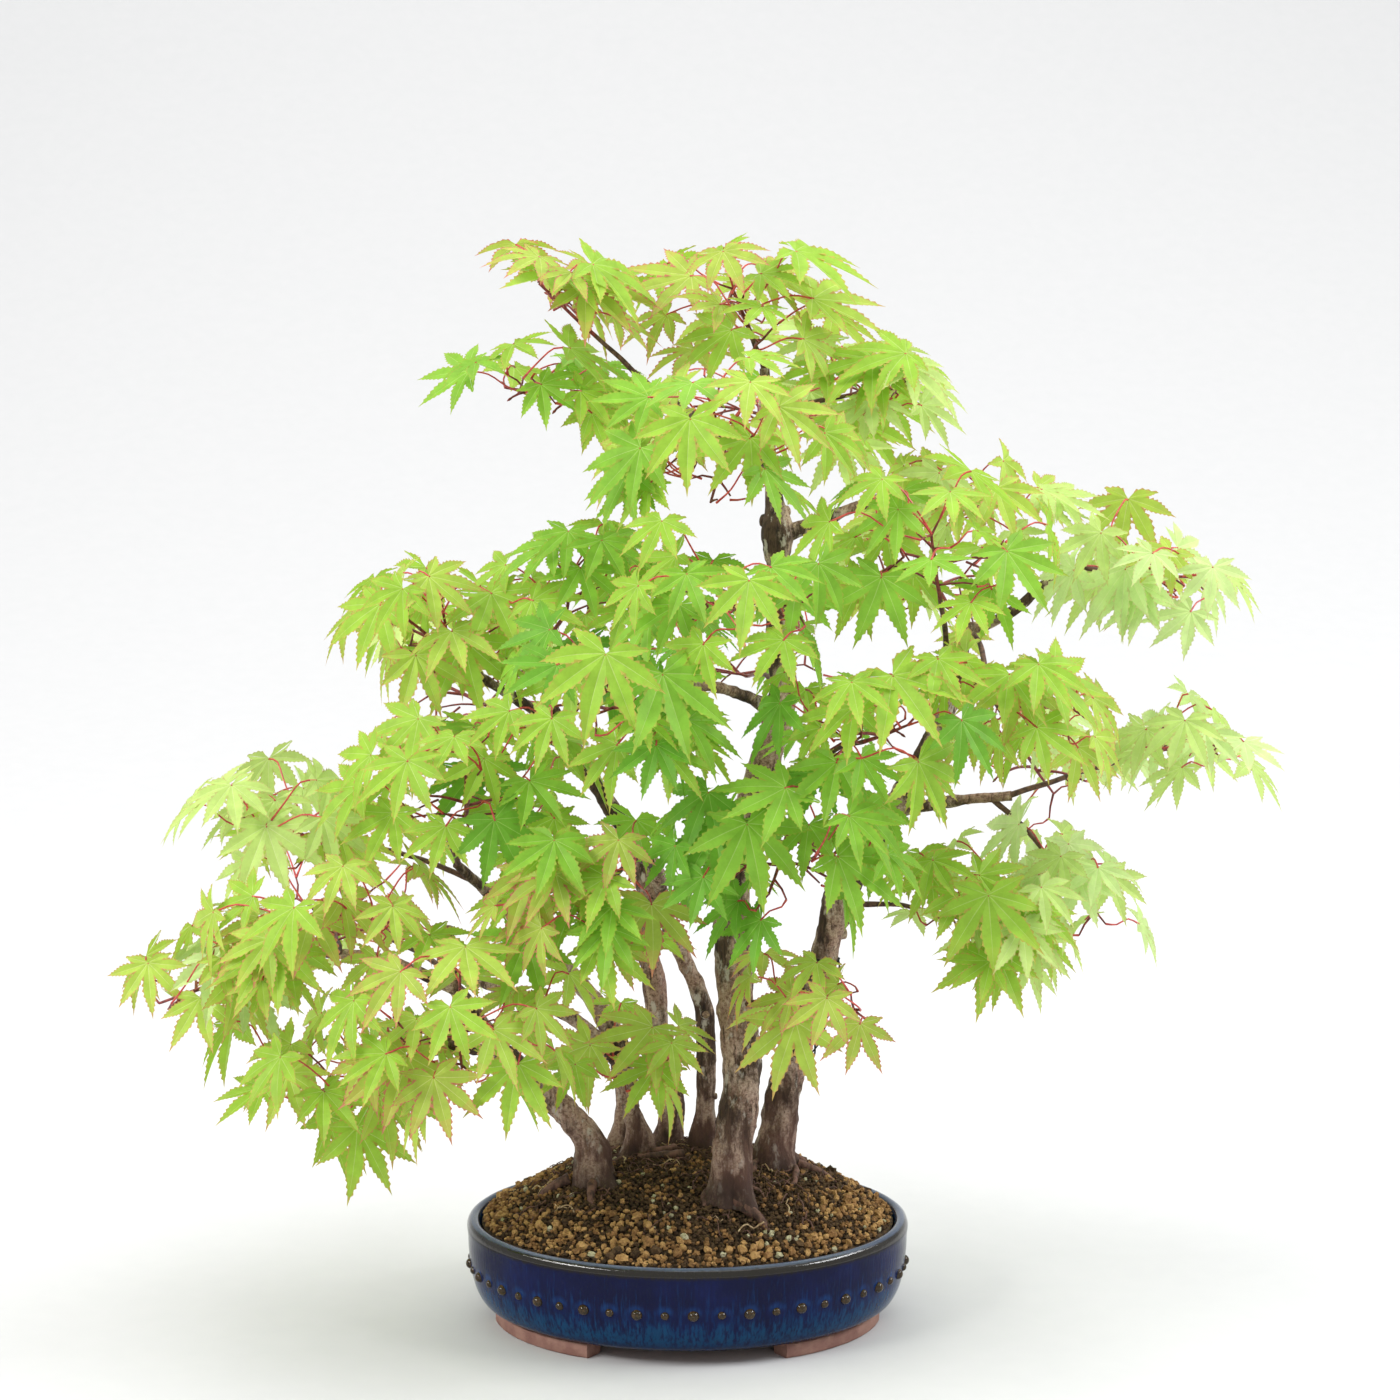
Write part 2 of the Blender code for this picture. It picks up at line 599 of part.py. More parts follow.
def leaf_mesh(matrix, hub, radius, root, thick):
    """A closed leaf: two fans of lobes, one above the other, that run on into a three-sided stalk.

    The stalk's section stands in for the notch at the back of the blade, so blade and stalk are
    one body. It starts at the hub, with its own radius there.
    """
    bm = bmesh.new()
    rim = [bm.verts.new(matrix @ point) for point in leaf_outline()]
    size = matrix.to_scale().x
    middle = matrix.translation
    normal = matrix.col[2].xyz.normalized()
    top = bm.verts.new(middle + normal * thick / 2)
    under = bm.verts.new(middle - normal * thick / 2)
    across = matrix.col[0].xyz.normalized()
    along = matrix.col[1].xyz.normalized()
    back = middle - along * NOTCH * size
    run = (back - hub).normalized()
    sections = []
    for place, width, heading in ((back, radius, (run + along).normalized()), (hub, root, run)):
        side = (across - heading * across.dot(heading)).normalized() * width
        above = side.cross(heading)
        sections.append([bm.verts.new(place + corner)
                         for corner in (side + above / 2, above / 2 - side, -above)])
    right, left, low = sections[0]
    upper = [left] + rim + [right]
    for one, two in zip(upper, upper[1:]):
        bm.faces.new((top, one, two))
        bm.faces.new((under, two, one))
    bm.faces.new((top, right, left))
    bm.faces.new((under, left, low))
    bm.faces.new((under, low, right))
    for index in range(3):
        after = (index + 1) % 3
        corners = (sections[0][index], sections[0][after], sections[1][after], sections[1][index])
        bm.faces.new(corners)
    bm.faces.new(sections[1])
    bmesh.ops.recalc_face_normals(bm, faces=bm.faces)
    mesh = bpy.data.meshes.new("leaf")
    bm.to_mesh(mesh)
    bm.free()
    return mesh


def frame_of(place, along, up, size):
    """A matrix whose Y runs along, whose Z leans to `up`, scaled by size."""
    along = along.normalized()
    side = along.cross(up).normalized()
    normal = side.cross(along)
    basis = Matrix((side, along, normal)).transposed() * size
    return Matrix.Translation(place) @ basis.to_4x4()


def tree_of(mesh, matrix=None):
    """A search tree of a mesh's faces."""
    matrix = matrix or Matrix.Identity(4)
    verts = [matrix @ vert.co for vert in mesh.vertices]
    return BVHTree.FromPolygons(verts, [tuple(face.vertices) for face in mesh.polygons])


class Spray:
    """A mass of foliage: shoots that branch in opposite pairs inside one rounded space."""

    def __init__(self, name, limb, share, middle, half, leaves, seed):
        self.name = name
        self.middle = Vector(middle) * MM
        self.half = Vector(half) * MM
        self.leaves = leaves
        self.pairs = 1 + (leaves >= TWO_PAIRS)
        self.rng = random.Random(seed)
        self.limb = limb
        self.twigs = []
        self.hubs = []
        self.grow_shoots(limb, share)

    def depth(self, point):
        """0 in the middle of the space and 1 at its edge."""
        offset = point - self.middle
        return math.sqrt(sum((offset[i] / self.half[i]) ** 2 for i in range(3)))

    def reach(self, direction):
        """How far the space reaches from its middle that way."""
        return 1.0 / math.sqrt(sum((direction[i] / self.half[i]) ** 2 for i in range(3)))

    def grow_shoots(self, limb, share):
        """The stem with its leading shoot, and the opposite pairs of side shoots."""
        root, forward, _ = limb.at(share)
        from_tip = share >= 1.0
        if from_tip:
            root = root - forward * STEM_START
        outward = (self.middle - root).normalized()
        first = self.middle - outward * STEM_INSET * self.reach(outward)
        lead = self.middle + outward * LEADER_REACH * self.reach(outward)
        length = (first - root).length
        bend = root.lerp(first, 0.5) + Vector((0.0, 0.0, STEM_LIFT * length))
        if from_tip:
            bend = bend + (forward - outward) * STEM_SWEEP * length
        self.stem = [root, bend, first, self.middle, lead]
        self.shoots = [(self.middle, lead)]
        side = outward.cross(Vector((0.0, 0.0, 1.0))).normalized()
        above = side.cross(outward)
        for node, across in ((self.middle, side), (first, above))[:self.pairs]:
            for turn in (1.0, -1.0):
                slant = (across * turn + outward * self.rng.uniform(*SIDE_SLANT)).normalized()
                tip = self.middle + slant * SIDE_REACH * self.reach(slant)
                origin = node + outward * PAIR_OFFSET * turn
                self.shoots.append((origin, tip))

    def make_twigs(self, taken):
        """The stem and the side shoots as three-sided rods, without any shoot that touches."""
        path = smooth_path(self.stem, STEM_STEP)
        radii = [STEM_RADIUS + (STEM_TIP - STEM_RADIUS) * share for share in shares_along(path)]
        self.meshes = [swept_mesh("stem", path, radii, TWIG_SIDES)]
        kept = [self.shoots[0]]
        for root, tip in self.shoots[1:]:
            guard = tree_of(rod_mesh(root, tip, SHOOT_GUARD, SHOOT_GUARD))
            if not any(guard.overlap(tree) for tree in taken):
                kept.append((root, tip))
                self.meshes.append(rod_mesh(root, tip, SHOOT_RADIUS, SHOOT_RADIUS))
        self.shoots = kept
        self.trees = [tree_of(mesh) for mesh in self.meshes]

    def leaf_offer(self, count):
        """A leaf that might grow: where its stalk leaves a shoot and meets its blade, and its turn."""
        rng = self.rng
        root, tip = self.shoots[count % len(self.shoots)]
        forward = (tip - root).normalized()
        hub = tip - forward * STALK_SPACING * rng.randint(1, STALK_PLACES)
        level = Vector((forward.x, forward.y, 0.0))
        if level.length < LEVEL_LEAST:
            level = Vector((self.middle.x, self.middle.y, 0.0))
        swing = rng.uniform(-SWING, SWING)
        level = Matrix.Rotation(math.radians(swing), 3, "Z") @ level.normalized()
        rise = forward.z * RISE_FROM_SHOOT + rng.uniform(*STALK_RISE)
        stalk = (level + Vector((0.0, 0.0, rise))).normalized()
        droop = math.radians(rng.uniform(*LEAF_DROOP))
        turn = math.radians(rng.uniform(-LEAF_TURN, LEAF_TURN))
        heading = Matrix.Rotation(turn, 3, "Z") @ level
        along = heading * math.cos(droop) - Vector((0.0, 0.0, math.sin(droop)))
        facing = -1.0 if self.middle.y < BACK_HALF else 1.0
        tilt = rng.uniform(-LEAF_TILT, LEAF_TILT)
        up = Vector((tilt, facing * TOWARDS_LIGHT * rng.uniform(*LIGHT_SHARES), 1.0))
        joint = hub + stalk * rng.uniform(*STALK_LENGTH)
        size = rng.uniform(*LEAF_LENGTH)
        return hub, joint, frame_of(joint, along, up + level * OUTWARD_TILT, size)

    def fits(self, matrix):
        """Whether a blade keeps inside the space."""
        return all(self.depth(matrix @ point) <= TIP_REACH for point in leaf_outline())

    def clear_leaf(self, offer, taken):
        """The leaf's test shape where the offer fits and touches nothing, or None."""
        hub, joint, matrix = offer
        stalk = (joint - hub).normalized()
        if stalk.dot(matrix.col[1].xyz.normalized()) < STALK_BEND or not self.fits(matrix):
            return None
        free = hub + stalk * STALK_FREE
        grown = matrix @ Matrix.Scale(LEAF_CLEAR, 4)
        guard = tree_of(leaf_mesh(grown, free, STALK_GUARD, STALK_GUARD, LEAF_GUARD))
        return None if any(guard.overlap(tree) for tree in taken) else guard

    def grow_leaves(self, taken, own, middles):
        """Leaves from the shoots in turn: of a few that fit, the one farthest from the others."""
        placed = []
        for count in range(self.leaves):
            best = None
            for attempt in range(LEAF_TRIES):
                offer = self.leaf_offer(count + attempt)
                place = offer[2] @ Vector((0.0, LEAF_MIDDLE, 0.0))
                room = min(((place - other).length for other in middles), default=1.0)
                if best is not None and room <= best[0]:
                    continue
                guard = self.clear_leaf(offer, taken + own)
                if guard is not None:
                    best = (room, offer, place, guard)
            if best is None:
                continue
            _, (hub, joint, matrix), place, guard = best
            placed.append(leaf_mesh(matrix, hub, STALK_RADIUS, STALK_ROOT, LEAF_THICK))
            own.append(guard)
            middles.append(place)
        return placed


def rod_mesh(start, end, foot, tip):
    """A three-sided tapering rod between two points."""
    along = end - start
    bm = bmesh.new()
    bmesh.ops.create_cone(bm, cap_ends=True, segments=TWIG_SIDES, radius1=foot, radius2=tip,
                          depth=along.length)
    turn = along.to_track_quat("Z", "Y").to_matrix().to_4x4()
    bmesh.ops.transform(bm, verts=bm.verts, matrix=Matrix.Translation((start + end) / 2) @ turn)
    mesh = bpy.data.meshes.new("rod")
    bm.to_mesh(mesh)
    bm.free()
    return mesh


def remove_collection(collection):
    """Remove a collection with the objects in it."""
    for obj in list(collection.objects):
        bpy.data.objects.remove(obj, do_unlink=True)
    bpy.data.collections.remove(collection)


def largest_body(mesh):
    """Keep the largest closed body: sealed hollows are filled and loose scraps dropped."""
    bm = bmesh.new()
    bm.from_mesh(mesh)
    left = set(bm.faces)
    bodies = []
    while left:
        front = [left.pop()]
        body = list(front)
        while front:
            for edge in front.pop().edges:
                for face in edge.link_faces:
                    if face in left:
                        left.discard(face)
                        body.append(face)
                        front.append(face)
        bodies.append(body)
    bodies.sort(key=len)
    scraps = [face for body in bodies[:-1] for face in body]
    bmesh.ops.delete(bm, geom=scraps, context="FACES")
    bm.to_mesh(mesh)
    bm.free()


def make_sprays(parts, limbs, guards, material):
    """Every mass of foliage: shoots first for all, then leaves, then one union each."""
    taken = [tree_of(limb.mesh(LIMB_CLEAR)) for limb in limbs.values()]
    sprays = []
    for seed, (name, (limb, share, middle, half, leaves)) in enumerate(SPRAYS.items()):
        spray = Spray(name, limbs[limb], share, middle, half, leaves, seed)
        spray.make_twigs(taken + [tree for other in sprays for tree in other.trees])
        sprays.append(spray)
    middles = []
    for spray in sprays:
        others = [tree for other in sprays if other is not spray for tree in other.trees]
        leaves = spray.grow_leaves(taken + others, spray.trees, middles)
        join_spray(spray, leaves, parts, guards[spray.limb.name], material)


def join_spray(spray, leaves, parts, guard, material):
    """One union of a spray's shoots and leaves, cut clear of the limb that carries it."""
    pieces = new_collection(f"{spray.name}_pieces")
    stem, *shoots = spray.meshes
    body = add_object(spray.name, stem, parts, material)
    for mesh in shoots + leaves:
        add_object("piece", mesh, pieces)
    bpy.context.view_layer.update()
    add_boolean(body, "UNION", collection=pieces)
    add_boolean(body, "DIFFERENCE", cutter=guard)
    apply_modifiers(body)
    remove_collection(pieces)
    largest_body(body.data)
    body.data.materials.clear()
    body.data.materials.append(material)


def build():
    """The whole tree in its pot."""
    clear_scene()
    parts = new_collection("japanese_maple_bonsai")
    cutters = new_collection("cutters")
    glaze = make_material("blue_glaze", GLAZE_BLUE, 0.15)
    clay = make_material("fired_clay", FIRED_CLAY, 0.8)
    ground = make_material("grit_soil", SOIL_BROWN, 0.95)
    bark = make_material("bark", BARK, 0.85)
    foliage = make_material("maple_leaf", LEAF_GREEN, 0.5)
    make_pot(parts, glaze, clay)
    soil = make_soil(parts, ground)
    limbs, guards = make_limbs(parts, cutters, soil, bark)
    make_sprays(parts, limbs, guards, foliage)


build()
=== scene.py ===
"""The look of a Japanese maple bonsai: a clump of stems in an oval glazed pot.

Metres, +Z up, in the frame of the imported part, whose limbs, sprays, pot and soil it dresses.
The tables of limbs and sprays give places in millimetres, which MM turns into metres.
"""
import json
import math
import random
from bisect import bisect

import bpy
import numpy as np
from mathutils import Matrix, Vector, noise
from mathutils.bvhtree import BVHTree

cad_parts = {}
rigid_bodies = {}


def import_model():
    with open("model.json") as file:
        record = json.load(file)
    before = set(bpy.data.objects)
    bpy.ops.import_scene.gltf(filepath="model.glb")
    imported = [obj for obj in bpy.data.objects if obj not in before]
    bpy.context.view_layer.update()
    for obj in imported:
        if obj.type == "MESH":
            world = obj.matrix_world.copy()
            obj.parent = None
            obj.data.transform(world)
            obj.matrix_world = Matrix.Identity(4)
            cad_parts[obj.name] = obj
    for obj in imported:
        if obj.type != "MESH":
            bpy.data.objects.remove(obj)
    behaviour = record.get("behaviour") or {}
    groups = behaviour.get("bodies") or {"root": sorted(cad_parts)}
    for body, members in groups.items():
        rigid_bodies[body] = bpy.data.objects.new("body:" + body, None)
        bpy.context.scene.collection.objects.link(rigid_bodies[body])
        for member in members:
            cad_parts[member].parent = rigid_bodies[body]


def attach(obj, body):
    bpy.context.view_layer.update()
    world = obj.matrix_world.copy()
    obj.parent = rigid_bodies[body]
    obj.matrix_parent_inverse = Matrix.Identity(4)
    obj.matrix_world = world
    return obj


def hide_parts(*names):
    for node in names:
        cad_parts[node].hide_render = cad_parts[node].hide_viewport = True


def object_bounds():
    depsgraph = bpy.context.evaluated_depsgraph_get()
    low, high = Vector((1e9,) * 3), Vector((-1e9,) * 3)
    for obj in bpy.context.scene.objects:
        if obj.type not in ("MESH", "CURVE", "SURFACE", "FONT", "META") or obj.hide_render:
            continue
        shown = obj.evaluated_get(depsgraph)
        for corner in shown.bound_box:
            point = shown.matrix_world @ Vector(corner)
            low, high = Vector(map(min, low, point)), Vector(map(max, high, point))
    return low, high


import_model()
cad_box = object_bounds()

MM = 0.001

# ---------------------------------------------------------------- pot and soil
POT_LENGTH = 0.218              # over the lip, along X
POT_WIDTH = 0.178               # over the lip, along Y
OVAL = POT_WIDTH / POT_LENGTH   # turned shapes are narrowed by this along Y
FOOT_HEIGHT = 0.0075
LIP_HEIGHT = 0.047              # height of the widest edge
LIP_CREST = 0.004               # the rounded lip stands this far above it
WALL = 0.0065
GAP = 0.0003

# The pot's outline as (how far inside the widest edge, height): the wall above FOOT_HEIGHT,
# the rolled lip above LIP_HEIGHT, and the inside above the bowl's floor.
BASE_INSETS = (0.030, 0.015)
WALL_LINE = ((0.0142, 0.0), (0.0108, 0.0009), (0.0072, 0.0034), (0.0040, 0.0092),
             (0.0020, 0.0170), (0.0008, 0.0270), (0.0004, 0.0350), (0.0, 0.0383))
LIP_LINE = ((-0.00005, 0.0), (0.0006, 0.0020), (0.0020, 0.0035), (0.0038, LIP_CREST),
            (0.0054, 0.0034), (0.0064, 0.0018), (0.0070, -0.0006))
INSIDE_LINE = ((0.0074, 0.029), (0.0080, 0.021), (0.0110, 0.006), (0.020, 0.0))
WALL_STEP = 0.0012              # spacing of the rings up the wall
LIP_STEP = 0.0005               # and over the lip
POT_STEPS = 240                 # corners round a ring
POT_WOBBLE = 0.00022            # how far the wall strays from a true oval

RIVETS = 50                     # one row of alternating large and small studs
RIVET_HEIGHT = 0.028
RIVET_LARGE = 0.0028
RIVET_SMALL = 0.0021
RIVET_START = 0.73              # the first stands this share of a spacing round from the X axis
RIVET_INSET = 0.0020            # their middles lie this far inside the widest edge

FOOT_ARC = (8.0, 60.0)          # each foot's stretch of the oval, in degrees from the X axis
FOOT_OUTER = 0.096              # half lengths of the oval ring that the feet are cut from
FOOT_INNER = 0.083
FOOT_SECTIONS = 44
FOOT_WORN = 0.0011              # how far its edges are worn round
FOOT_NARROWS = 0.06             # its ends are narrower by this share

SOIL_EDGE = 0.0472              # height of the soil where it meets the wall
SOIL_RISE = 0.031               # the mound's height above that
SOIL_POWER = 2.5                # a dome with a broad top
SOIL_LEAN = 0.4                 # the mound's top lies this share of its rise towards the back
SOIL_BANK = 0.0022              # the soil lies this much higher against the wall
SOIL_INSET = 0.0006             # and its edge this much further in than its gap
SOIL_REACH = POT_LENGTH / 2 - WALL - GAP - SOIL_INSET
BED_ROWS = 46
BED_STEPS = 144
BED_SINK = 0.0012               # the bed under the grains lies this far below the soil's face

GRAIN_SIZES = (0.0008, 0.0011, 0.0013, 0.0016, 0.0019, 0.0022, 0.0026)
GRAIN_SHAPES = 14
GRAIN_TRIES = 34000
GRAIN_CELL = 0.006              # grains are kept by squares of this size to find their neighbours
GRAIN_ROOM = 0.74               # middles lie at least this share of two grains' radii apart
FINE_BELOW = 0.0013             # grains smaller than this are darker
GRIT_LIMITS = (0.44, 0.80, 0.825)       # below these a grain is tan, brown or pale, and above them dark
NEAR_STEM = 0.042               # the soil is finer and darker this far round each stem
PAINTED_LIGHT_EDGE = -0.03                # left of this more and more grains are tan: painted light where the soil's left side is lit

# ---------------------------------------------------------------- limbs
PATH_STEP = 0.016               # spacing of the rings along a trunk or bough
TRUNK_SINK = 0.003              # a trunk starts this far under the soil's face
FLARE_HEIGHT = 0.010            # the root flare dies away over this height
KNUCKLE_LENGTH = 0.009          # half length of the swelling at a knuckle

BARK_STEP = 0.0016              # spacing of the rings in the bark
TRUNK_SIDES = 36
BOUGH_SIDES = 18
COLLAR = 0.0012                 # how far a bough swells where it leaves its stem
COLLAR_LENGTH = 0.006           # the swelling dies away over this length
KNOTS_A_METRE = 60
KNOT_REACH = 0.008              # a knot swells the bark no further along than this
KNOT_LENGTH = 0.0030
KNOT_WIDTH = 0.0026
RING_SPACING = 0.022            # of the rings left by old buds
RING_LENGTH = 0.0011
GNARL = 0.0026                  # how uneven a stem is at its foot
GNARL_HEIGHT = 0.016            # the unevenness dies away over this height
TOE_HEIGHT = 0.013              # and the root toes over this one
TOE_SPREAD = 0.40               # half width of a toe, in radians round the stem
STUB_SIDES = 18
STUB_LINE = ((0.0, 1.25), (0.45, 1.18), (0.8, 1.05), (0.96, 0.96), (1.0, 0.82))     # (way out, width)

# Each limb: its parent, its path, its radius at foot and tip, how the taper bends, the extra
# radius of its root flare and its knuckles as (height, extra radius). All in millimetres.
TRUNKS = {
    "trunk_main": dict(
        path=[(20, -36), (23, -35, 100), (26, -33, 132), (23, -30, 173), (22, -26, 225),
              (35, -20, 274), (45, -16, 310), (44, -12, 356), (43, -8, 391), (38, -4, 440),
              (37, -2, 468)],
        foot=9.0, tip=2.5, power=2.0, flare=2.0, knuckles=[(389, 2.6)]),
    "trunk_right": dict(
        path=[(42, 9), (46, 9, 103), (53, 8, 130), (61, 7, 158), (68, 6, 185), (77, 5, 213),
              (92, 3, 241), (113, 2, 277), (129, 0, 314), (134, -4, 346)],
        foot=8.4, tip=2.7, power=1.3, flare=4.5, knuckles=[(207, 2.0), (345, 0.8)]),
    "trunk_slim": dict(
        path=[(8, 24), (9, 25, 98), (9, 25, 139), (6, 24, 155), (-1, 22, 173), (-9, 10, 192),
              (-12, -8, 214), (-16, -28, 232)],
        foot=5.2, tip=2.4, power=1.4, flare=2.0, knuckles=[]),
    "trunk_middle": dict(
        path=[(-11, 34), (-8, 35, 102), (-14, 36, 128), (-17, 36, 164), (-21, 35, 180),
              (-18, 33, 208), (-27, 31, 232), (-45, 27, 262), (-60, 22, 288), (-69, 16, 306)],
        foot=5.8, tip=3.0, power=1.8, flare=2.5, knuckles=[(213, 2.8)]),
    "trunk_forked": dict(
        path=[(-34, 39), (-30, 40, 98), (-33, 40, 114), (-36, 40, 128), (-37, 40, 134)],
        foot=5.6, tip=5.4, power=1.0, flare=2.5, knuckles=[]),
    "trunk_low": dict(
        path=[(-43, -12), (-48, -12, 92), (-58, -14, 106), (-68, -18, 117), (-88, -28, 140),
              (-104, -40, 165), (-115, -50, 188), (-112, -56, 208)],
        foot=7.2, tip=2.5, power=1.0, flare=3.6, knuckles=[]),
    "root_stump": dict(
        path=[(-26, 15), (-25, 14, 88), (-29, 12, 104)],
        foot=6.5, tip=3.4, power=1.0, flare=2.5, knuckles=[]),
}

BOUGHS = {
    "bough_crown_left": dict(
        parent="trunk_main", path=[(38, -5, 424), (14, -10, 440), (-12, -14, 455)],
        foot=2.6, tip=2.3),
    "bough_crown_right": dict(
        parent="trunk_main", path=[(43, -9, 388), (66, -6, 397), (92, 0, 406)],
        foot=3.8, tip=2.3),
    "bough_centre_left": dict(
        parent="trunk_main", path=[(44, -16, 305), (22, -38, 318), (2, -62, 326)],
        foot=3.0, tip=2.3),
    "bough_centre_right": dict(
        parent="trunk_main", path=[(31, -22, 262), (50, -48, 278), (64, -68, 292)],
        foot=3.2, tip=2.3),
    "bough_right_tip": dict(
        parent="trunk_right",
        path=[(134, -4, 343), (144, -6, 346), (157, -8, 353), (170, -9, 365), (180, -9, 371)],
        foot=2.6, tip=2.3),
    "bough_right_low": dict(
        parent="trunk_right", path=[(98, 3, 252), (126, -10, 260), (156, -16, 264)],
        foot=3.2, tip=2.3),
    "bough_right_front": dict(
        parent="trunk_right", path=[(123, 1, 300), (124, -26, 316), (122, -52, 334)],
        foot=2.8, tip=2.3),
    "bough_right_back": dict(
        parent="trunk_right", path=[(118, 2, 288), (134, 34, 304), (150, 66, 314)],
        foot=3.0, tip=2.3),
    "bough_left_high": dict(
        parent="trunk_middle", path=[(-63, 21, 292), (-84, 8, 308), (-104, -2, 322)],
        foot=2.8, tip=2.3),
    "bough_left_back": dict(
        parent="trunk_middle", path=[(-50, 26, 270), (-66, 46, 280), (-84, 68, 286)],
        foot=3.0, tip=2.3),
    "bough_fork_upper": dict(
        parent="trunk_forked",
        path=[(-36, 40, 130), (-46, 41, 147), (-54, 41, 157), (-68, 36, 175), (-90, 16, 202),
              (-112, -4, 228)],
        foot=5.0, tip=2.2),
    "bough_fork_lower": dict(
        parent="trunk_forked",
        path=[(-34, 40, 118), (-46, 32, 132), (-56, 28, 142), (-74, 24, 152), (-96, 28, 159),
              (-120, 42, 164)],
        foot=3.8, tip=2.3),
    "bough_low_far": dict(
        parent="trunk_low", path=[(-110, -46, 176), (-146, -42, 190), (-184, -36, 192)],
        foot=2.6, tip=2.3),
    "bough_low_front": dict(
        parent="trunk_low", path=[(-88, -28, 140), (-100, -52, 148), (-110, -74, 156)],
        foot=3.0, tip=2.3),
}

# ---------------------------------------------------------------- foliage
# Each spray: the limb that carries it, how far along that limb its stem springs (0 foot,
# 1 tip), the middle and half sizes of its own space, and how many leaves it may hold.
SPRAYS = {
    "leaves_crown_top": ("trunk_main", 1.0, (28, -4, 490), (62, 56, 41), 7),
    "leaves_crown_left": ("bough_crown_left", 1.0, (-58, -24, 499), (54, 50, 32), 6),
    "leaves_crown_left_low": ("bough_crown_left", 0.78, (-66, 0, 456), (54, 50, 36), 5),
    "leaves_crown_right": ("trunk_main", 0.94, (92, 2, 459), (53, 54, 42), 7),
    "leaves_crown_front": ("trunk_main", 0.90, (13, -80, 434), (60, 56, 46), 8),
    "leaves_crown_back": ("trunk_main", 0.88, (36, 88, 440), (74, 62, 54), 7),
    "leaves_shoulder_right": ("bough_crown_right", 1.0, (146, 10, 402), (54, 52, 38), 6),
    "leaves_shoulder_front": ("bough_right_front", 1.0, (113, -92, 385), (59, 56, 45), 7),
    "leaves_shoulder_back": ("bough_right_back", 1.0, (128, 100, 350), (64, 58, 52), 6),
    "leaves_right_tip": ("bough_right_tip", 1.0, (220, -14, 370), (52, 54, 44), 7),
    "leaves_right_mid": ("bough_right_front", 0.80, (160, -72, 314), (56, 54, 46), 6),
    "leaves_right_far": ("bough_right_low", 1.0, (242, -4, 288), (49, 56, 48), 6),
    "leaves_right_low": ("bough_right_low", 0.84, (189, -14, 216), (45, 52, 56), 6),
    "leaves_right_hanging": ("trunk_right", 0.47, (141, -50, 210), (48, 52, 58), 7),
    "leaves_right_back": ("bough_right_back", 0.80, (178, 92, 258), (62, 60, 52), 6),
    "leaves_centre_high": ("trunk_main", 0.76, (24, -112, 369), (58, 56, 48), 7),
    "leaves_centre_right": ("bough_centre_right", 1.0, (88, -104, 308), (58, 56, 50), 7),
    "leaves_centre_left": ("bough_centre_left", 1.0, (-34, -112, 322), (60, 56, 54), 7),
    "leaves_centre_low": ("bough_centre_right", 0.76, (42, -112, 251), (60, 54, 48), 7),
    "leaves_centre_back": ("trunk_main", 0.62, (28, 98, 306), (78, 62, 68), 7),
    "leaves_left_high": ("bough_left_high", 1.0, (-121, -20, 340), (66, 58, 41), 8),
    "leaves_left_inner": ("trunk_middle", 1.0, (-56, -30, 362), (54, 52, 42), 6),
    "leaves_left_mid": ("bough_fork_upper", 1.0, (-102, -70, 270), (62, 58, 46), 8),
    "leaves_left_far": ("bough_fork_upper", 0.88, (-194, -8, 246), (62, 58, 43), 7),
    "leaves_left_front": ("trunk_slim", 1.0, (-46, -102, 230), (58, 52, 54), 7),
    "leaves_low_far": ("bough_low_far", 1.0, (-234, -34, 173), (57, 58, 38), 6),
    "leaves_low_mid": ("bough_low_far", 0.76, (-163, -82, 211), (60, 56, 46), 7),
    "leaves_low_front": ("bough_low_front", 1.0, (-103, -116, 173), (58, 58, 58), 8),
    "leaves_low_hanging": ("bough_low_front", 0.74, (-166, -62, 133), (56, 56, 54), 7),
    "leaves_left_back": ("bough_left_back", 1.0, (-116, 98, 296), (80, 62, 62), 7),
    "leaves_low_back": ("bough_fork_lower", 1.0, (-180, 84, 182), (78, 62, 62), 7),
    "leaves_front_spray": ("trunk_main", 0.24, (71, -90, 177), (51, 48, 43), 5),
    "leaves_front_small": ("trunk_slim", 0.30, (-27, -50, 136), (42, 44, 44), 3),
}

# How many leaves a spray has beside the others of its size.
FULLNESS = {
    "leaves_right_far": 1.05, "leaves_right_hanging": 1.4, "leaves_left_front": 1.3, "leaves_centre_low": 1.2,
    "leaves_centre_left": 1.15, "leaves_front_spray": 0.7, "leaves_crown_left": 0.8,
}

# Which tints a spray's leaves take, from 0, deep green, to 6, red-edged young leaves.
TINTS_OF = {
    "leaves_crown_top": (2, 6, 3), "leaves_crown_left": (2, 6, 6), "leaves_crown_left_low": (2, 1),
    "leaves_crown_right": (2, 4), "leaves_crown_front": (2, 3, 1), "leaves_crown_back": (2, 4),
    "leaves_shoulder_right": (3, 4), "leaves_shoulder_front": (1, 2), "leaves_shoulder_back": (3, 4),
    "leaves_right_tip": (3, 4, 5), "leaves_right_mid": (2, 3), "leaves_right_far": (4, 5),
    "leaves_right_low": (4, 5), "leaves_right_hanging": (2, 4), "leaves_right_back": (4, 5),
    "leaves_centre_high": (1, 2), "leaves_centre_right": (1, 2, 0), "leaves_centre_left": (1, 2, 0),
    "leaves_centre_low": (0, 1), "leaves_centre_back": (0, 1), "leaves_left_high": (2, 3),
    "leaves_left_inner": (1, 2), "leaves_left_mid": (0, 1, 2), "leaves_left_far": (3, 4),
    "leaves_left_front": (1, 2, 6), "leaves_low_far": (3, 5), "leaves_low_mid": (2, 3, 6),
    "leaves_low_front": (2, 3, 6), "leaves_low_hanging": (2, 3), "leaves_left_back": (2, 4),
    "leaves_low_back": (2, 4), "leaves_front_spray": (3, 6, 6), "leaves_front_small": (2, 3),
}

